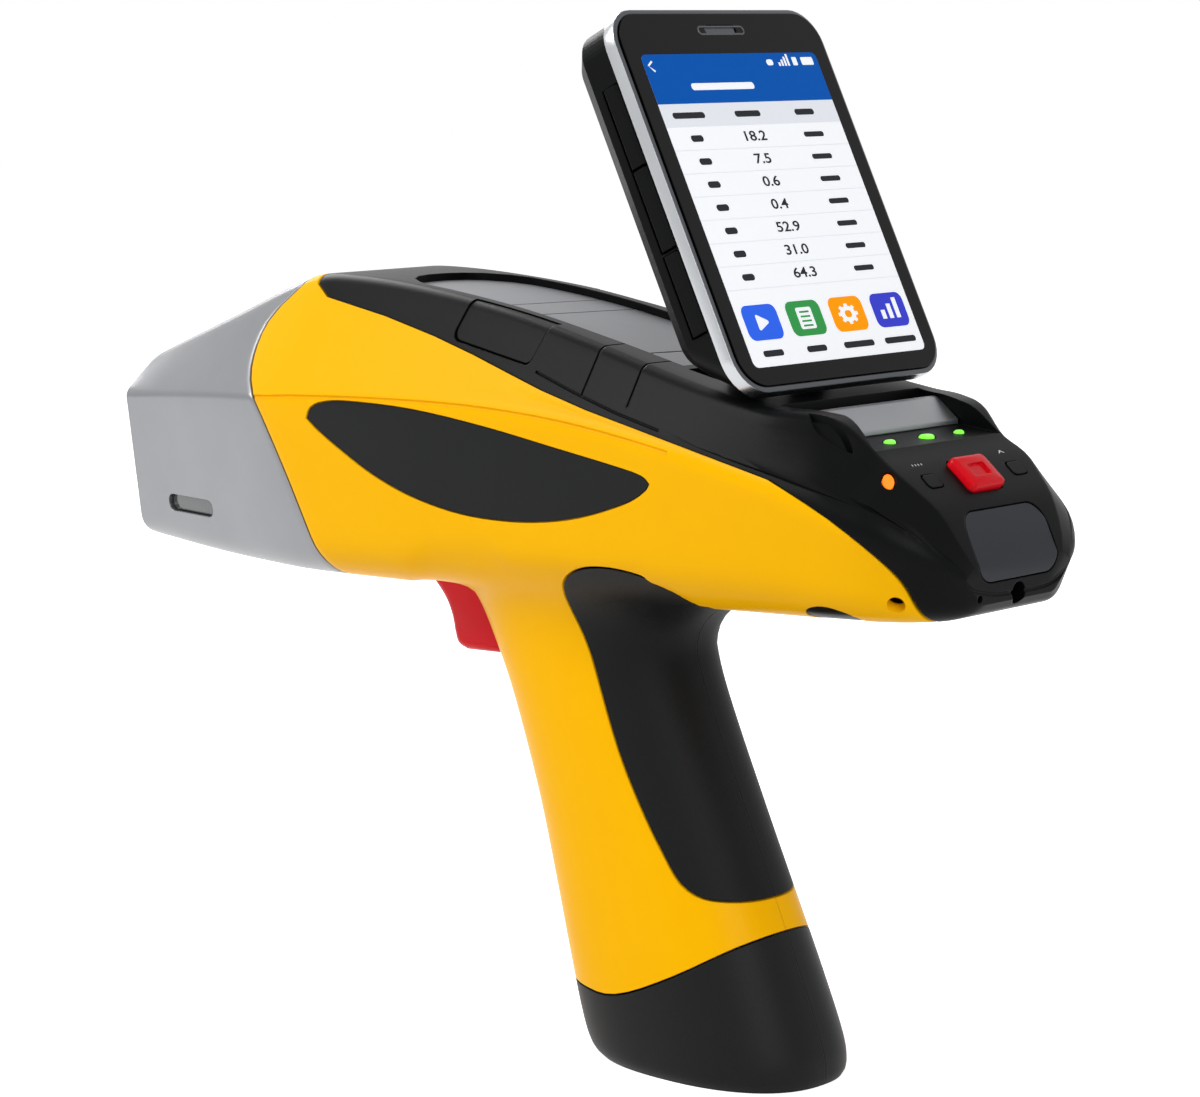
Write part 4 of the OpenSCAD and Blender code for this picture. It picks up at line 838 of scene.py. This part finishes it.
# Dark coated glass of the range finder's window, smooth but with hardly a reflection.
lens_glass = surface("dark_coated_glass", "#050506", 0.3, specular=0.05, edge_mm=0.2)
lenses = None
for side in (-1, 1):
    lens = layer(stacked("lens", LENS_OVAL, [(-0.15, -9), (-0.15, 9)], chine_frame(side, *LENS_PLACE)), 0.12, 1.9)
    lenses = lens if lenses is None else cut(lenses, lens, "UNION")
lenses.name = "range_finder_lenses"
finished(lenses, lens_glass, "housing", ["underside_lens"])

# --- Display hinge --------------------------------------------------------------------
# Steel bracket and pin in a well of the roof, and behind it a satin metal bar across the dip.
# Bead-blasted and anodised aluminium, even and silvery.
anodised_aluminium = surface("anodised_aluminium", "#8C8E91", 0.36, metallic=0.9, grain=0.12, grain_mm=0.2)
bar_plan = mirrored_plan([(87, 24.7), (99, 20.45)])
bar_side = rounded_outline([(87, dip_floor + 0.1), (99, dip_floor + 0.1), (99, dip_floor + 1.2), (91.2, UNDER + 49.9),
                            (89.6, UNDER + 50.2), (87, UNDER + 48.6)], [0, 0, 0.4, 1.2, 1.4, 0])
bar = plan("hinge_ramp", bar_plan, 140, 205)
cut(bar, across("bar_side", bar_side, -60, 60), "INTERSECT")
finished(bar, anodised_aluminium, "housing", ["hinge_bar"])
for name in ("hinge_bracket", "hinge_pin"):
    finished(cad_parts[name], ground_steel)
finished(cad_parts["hinge_well_plate"], black_nylon)

# --- Display --------------------------------------------------------------------------
# Touch screen of the analyzer: black moulded housing, dark chrome frame whose side wall is painted a lighter silver
# as a highlight, and cover glass. It folds on the hinge pin. Local X runs down the screen, local Y across it and
# local Z out of it.
display_frame = Matrix.Translation((HINGE_X, 0, HINGE_Z)) @ Matrix.Rotation(math.radians(90 - 26.5), 4, "Y")
DISPLAY_END, DISPLAY_H, DISPLAY_W, DISPLAY_CORNER = 5.6, 93, 74, 9
FRAME_BACK, FRAME_TOP, GLASS_TOP = 17.82, 21, 21.5
SCREEN_X, SCREEN_H, SCREEN_W = -38, 75.6, 62
# Dark chrome plating over the frame, smoky in its reflections.
dark_chrome = surface("dark_chrome_plating", "#55575B", 0.2, metallic=1.0, edge_mm=0.3)
# Painted highlight: a lighter silver on the frame's side wall, where the light falls along it, over the dark chrome.
frame_side_painted_highlight = surface("silver_with_painted_highlight_on_frame_side", "#B4B6B9", 0.25, metallic=1.0, edge_mm=0.3)
# Cover glass, black from behind and highly polished.
cover_glass = surface("black_backed_glass", "#030304", 0.05, edge_mm=0.2, specular=0.12, shade=0.1)
finished(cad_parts["display_back"], black_abs)
# Its side wall is painted the lighter silver as a highlight, and only the narrow lip at the front keeps the dark
# chrome.
metal_frame = stacked("metal_frame",
                      box_outline(DISPLAY_H, DISPLAY_W, DISPLAY_CORNER, DISPLAY_END - DISPLAY_H / 2, 0, 8),
                      [(0, FRAME_BACK), (0, FRAME_TOP - 0.9), (-0.25, FRAME_TOP - 0.25), (-0.9, FRAME_TOP),
                       (-1.35, FRAME_TOP), (-1.35, FRAME_TOP - 1), (-2.8, FRAME_TOP - 1), (-2.8, FRAME_BACK)],
                      display_frame, joined_up=True)
finished(metal_frame, frame_side_painted_highlight, "display", ["display_frame"])
metal_frame.data.materials.append(dark_chrome)
out_of_screen = display_frame.to_3x3() @ Vector((0, 0, 1))
# Faces out of the screen keep the dark chrome; all other faces get the painted highlight.
for polygon in metal_frame.data.polygons:
    polygon.material_index = 1 if polygon.normal.dot(out_of_screen) > 0.6 else 0
finished(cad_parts["display_glass"], cover_glass)
finished(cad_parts["screen_panel"], cover_glass)
earpiece = stacked("earpiece_grille", box_outline(2.3, 16.4, 1.1, DISPLAY_END - DISPLAY_H + 5.8),
                   [(0, GLASS_TOP - 1.2), (0, GLASS_TOP + 0.1), (-0.25, GLASS_TOP + 0.18), (-0.4, GLASS_TOP + 0.18),
                    (-0.5, GLASS_TOP - 0.3)], display_frame)
finished(earpiece, dark_chrome, "display", ["earpiece"])
finished(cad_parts["display_battery"], milled_aluminium)
for name in ("upper_side_key", "middle_side_key", "lower_side_key"):
    finished(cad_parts[name], black_abs)

# --- Screen contents ------------------------------------------------------------------
# The picture on the screen: a list of readings under a blue header, and four round-cornered keys below.
# It has plain numbers, bars and signs only.


def on_screen(name, look, height, outlines, numbers=()):
    """Thin sheets and numbers over the glass, as one piece. Each outline and number is placed from the screen's
    top left corner: x down the screen and y to the right."""
    work = bmesh.new()
    corner = Matrix.Translation((SCREEN_X - SCREEN_H / 2, -SCREEN_W / 2, GLASS_TOP))
    for outline in outlines:
        part = stacked("part", outline, [(0, -0.1), (0, height)], display_frame @ corner)
        work.from_mesh(part.data)
        bpy.data.objects.remove(part)
    for value, x, y, size in numbers:
        curve = bpy.data.curves.new("number", "FONT")
        curve.body, curve.size, curve.extrude, curve.offset = value, size, 0.02, 0.05
        curve.align_x, curve.align_y = "CENTER", "CENTER"
        text = bpy.data.objects.new("number", curve)
        bpy.context.scene.collection.objects.link(text)
        bpy.context.view_layer.update()
        mesh = bpy.data.meshes.new_from_object(text.evaluated_get(bpy.context.evaluated_depsgraph_get()))
        turn = Matrix(((0, -1, 0, x), (1.45, 0, 0, y), (0, 0, 1, height), (0, 0, 0, 1)))
        mesh.transform(Matrix.Scale(MM, 4) @ display_frame @ corner @ turn)
        work.from_mesh(mesh)
        bpy.data.objects.remove(text)
    mesh = bpy.data.meshes.new(name)
    work.to_mesh(mesh)
    work.free()
    piece = bpy.data.objects.new(name, mesh)
    bpy.context.scene.collection.objects.link(piece)
    return finished(piece, look, "display", ())


def area(x, y, high, wide, corner=0.0):
    """Rectangle about (x, y) on the screen."""
    return box_outline(high, wide, corner, x, y, 4)


def pixels(name, colour, strength=0.3):
    """Lit pixels, even over the whole area and free of reflections."""
    return surface(name, colour, 0.4, specular=0.05, shade=0.005, edge_mm=0.01, glow=colour, glow_strength=strength)


white_pixels = pixels("lit_white_pixels", "#F3F5F9")
HEADER, TITLES, ROW = 12.2, 17.9, 5.62
row_middles = [TITLES + ROW * (k + 0.5) for k in range(7)]
on_screen("screen_page", white_pixels, 0.03, [area(SCREEN_H / 2, SCREEN_W / 2, SCREEN_H, SCREEN_W, 1.6)])
on_screen("screen_header", pixels("lit_blue_pixels", "#0051A8"), 0.05,
          [area(HEADER / 2, SCREEN_W / 2, HEADER, SCREEN_W, [1.6, 0, 0, 1.6])])
on_screen("screen_titles", pixels("lit_grey_pixels", "#DFE2E9"), 0.05,
          [area((HEADER + TITLES) / 2, SCREEN_W / 2, TITLES - HEADER, SCREEN_W)]
          + [area(TITLES + ROW * k, SCREEN_W / 2, 0.22, SCREEN_W) for k in range(1, 8)])
back_arrow = [(4.4, 3.0), (4.0, 3.4), (2.9, 1.7), (1.9, 3.3), (1.5, 3.0), (2.6, 1.4)]
signal = [area(2.9 - 0.35 * k, 47.6 + 1.1 * k, 0.9 + 0.7 * k, 0.7) for k in range(4)]
on_screen("screen_header_signs", white_pixels, 0.07,
          [area(8.1, 24.5, 1.7, 22, 0.8), area(2.4, 44.2, 1.5, 2.4, 0.7), area(2.2, 53.4, 2.1, 1.7, 0.3),
           area(2.2, 58, 2.0, 4.4, 0.4), back_arrow] + signal)
readings = ("18.2", "7.5", "0.6", "0.4", "52.9", "31.0", "64.3")
on_screen("screen_readings", pixels("lit_dark_pixels", "#2B2E33", 0.1), 0.07,
          [area((HEADER + TITLES) / 2, y, 1.5, wide, 0.7) for y, wide in ((9, 11), (29.5, 9), (50, 7))]
          + [area(x, 9, 1.6, 4.2, 0.75) for x in row_middles] + [area(x, 50.5, 1.3, 7.2, 0.6) for x in row_middles]
          + [area(72.6, 8.1 + 15.3 * k, 1.5, wide, 0.7) for k, wide in enumerate((7, 7, 11, 11.5))],
          [(value, x, 29, 3.4) for value, x in zip(readings, row_middles)])
KEY_ROW = 65.2
key_places = [8.1 + 15.3 * k for k in range(4)]
for name, colour, y in zip(("blue", "green", "orange", "indigo"), ("#2F63E6", "#35924A", "#FB9A06", "#3A40C6"),
                           key_places):
    on_screen("screen_key_" + name, pixels("lit_%s_key_pixels" % name, colour), 0.07, [area(KEY_ROW, y, 8.4, 12, 2)])
play = rounded_outline([(KEY_ROW - 2.1, key_places[0] - 1.8), (KEY_ROW + 2.1, key_places[0] - 1.8),
                        (KEY_ROW, key_places[0] + 2.6)], 0.4)
TOOTH = ((-13, 2.7), (-9, 3.5), (9, 3.5), (13, 2.7))
gear = [(KEY_ROW + radius * 0.72 * math.cos(math.radians(45 * k + turn)),
         key_places[2] + radius * math.sin(math.radians(45 * k + turn))) for k in range(8) for turn, radius in TOOTH]
columns = [area(KEY_ROW + 2.1 - high / 2, key_places[3] + y, high, 1.5)
           for y, high in ((-2.6, 2.2), (0, 3.6), (2.6, 5))]
on_screen("screen_key_signs", white_pixels, 0.09,
          [play, area(KEY_ROW, key_places[1], 5.2, 5.4, 0.5), gear] + columns)
on_screen("screen_page_lines", pixels("lit_green_line_pixels", "#35924A"), 0.11,
          [area(KEY_ROW + x, key_places[1], 0.45, 3.4) for x in (-1.5, -0.4, 0.7, 1.8)])
on_screen("screen_gear_middle", pixels("lit_orange_middle_pixels", "#FB9A06"), 0.11,
          [area(KEY_ROW, key_places[2], 1.7, 2.4, 0.8)])

# --- Battery and foot -------------------------------------------------------------------
# Battery pack that slides out of the handle with the black foot, which is moulded in two halves. They are
# held together round the end of the pack, and close the handle from below.
foot_form = handle_core("foot_form", 0, 0, 60)
cut(foot_form, handle_core("foot_space", WALL, 3, 80))
cut(foot_form, across("foot_top", [(x, z - SEAM_GAP / 2) for x, z in FOOT_SEAM] + [(110, 120), (-10, 120)], -60, 60))
# Black nylon with a coarser grain than the cover, as it takes knocks.
foot_nylon = surface("moulded_black_nylon", "#111213", 0.48, grain=0.5, grain_mm=0.4, specular=0.14)
for side, name in ((-1, "left"), (1, "right")):
    foot = half_of(foot_form, name + "_moulded_foot", side)
    finished(foot, foot_nylon, "battery", [name + "_foot"])
bpy.data.objects.remove(foot_form)
finished(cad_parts["battery_pack"], black_nylon)

# --- Studio -----------------------------------------------------------------------------
# Plain pale floor and a white surround, with three large soft lamps: a key and a fill on the camera's side
# and a rim light from behind.
work = bmesh.new()
bmesh.ops.create_grid(work, x_segments=1, y_segments=1, size=4)
floor_mesh = bpy.data.meshes.new("floor")
work.to_mesh(floor_mesh)
work.free()
floor = bpy.data.objects.new("floor", floor_mesh)
bpy.context.scene.collection.objects.link(floor)
# Matt white paper. What the camera and mirrors see of it is lifted to white, and the shadow stays.
paper = bpy.data.materials.new("matt_white_paper")
paper.use_nodes = True
tree = paper.node_tree
shader = tree.nodes["Principled BSDF"]
for socket, value in (("Base Color", srgb("#E7E7E7")), ("Roughness", 0.9), ("Specular IOR Level", 0.0),
                      ("Emission Color", (1, 1, 1, 1))):
    shader.inputs[socket].default_value = value


def seen_rays(tree):
    """1 for what the camera, mirrors and glass see, and 0 for the light on the object."""
    ray = add(tree, "LightPath")
    either = add(tree, "Math", links={0: ray.outputs["Is Camera Ray"], 1: ray.outputs["Is Glossy Ray"]},
                 operation="MAXIMUM")
    return add(tree, "Math", links={0: either.outputs[0], 1: ray.outputs["Is Transmission Ray"]},
               operation="MAXIMUM").outputs[0]


lift = add(tree, "Math", {1: 0.76}, {0: seen_rays(tree)}, operation="MULTIPLY")
tree.links.new(lift.outputs[0], shader.inputs["Emission Strength"])
floor.data.materials.append(paper)

world = bpy.data.worlds.new("studio")
bpy.context.scene.world = world
world.use_nodes = True
tree = world.node_tree
strength = add(tree, "MapRange", {"To Min": 0.32, "To Max": 1.0}, {"Value": seen_rays(tree)})
sky = tree.nodes["Background"]
sky.inputs["Color"].default_value = (1, 1, 1, 1)
tree.links.new(strength.outputs[0], sky.inputs["Strength"])
bpy.context.scene.view_settings.view_transform = "Standard"
for name, at, size, power in (("key", (-0.9, -1.1, 1.3), 0.8, 18), ("fill", (1.2, -0.7, 0.8), 0.9, 9),
                              ("rim", (-1.2, 0.5, 1.0), 0.7, 9)):
    data = bpy.data.lights.new(name, "AREA")
    data.size, data.energy = size, power
    lamp = bpy.data.objects.new(name, data)
    lamp.location = at
    lamp.rotation_euler = (Vector(at) - Vector((0, 0, 0.14))).to_track_quat("Z", "Y").to_euler()
    bpy.context.scene.collection.objects.link(lamp)
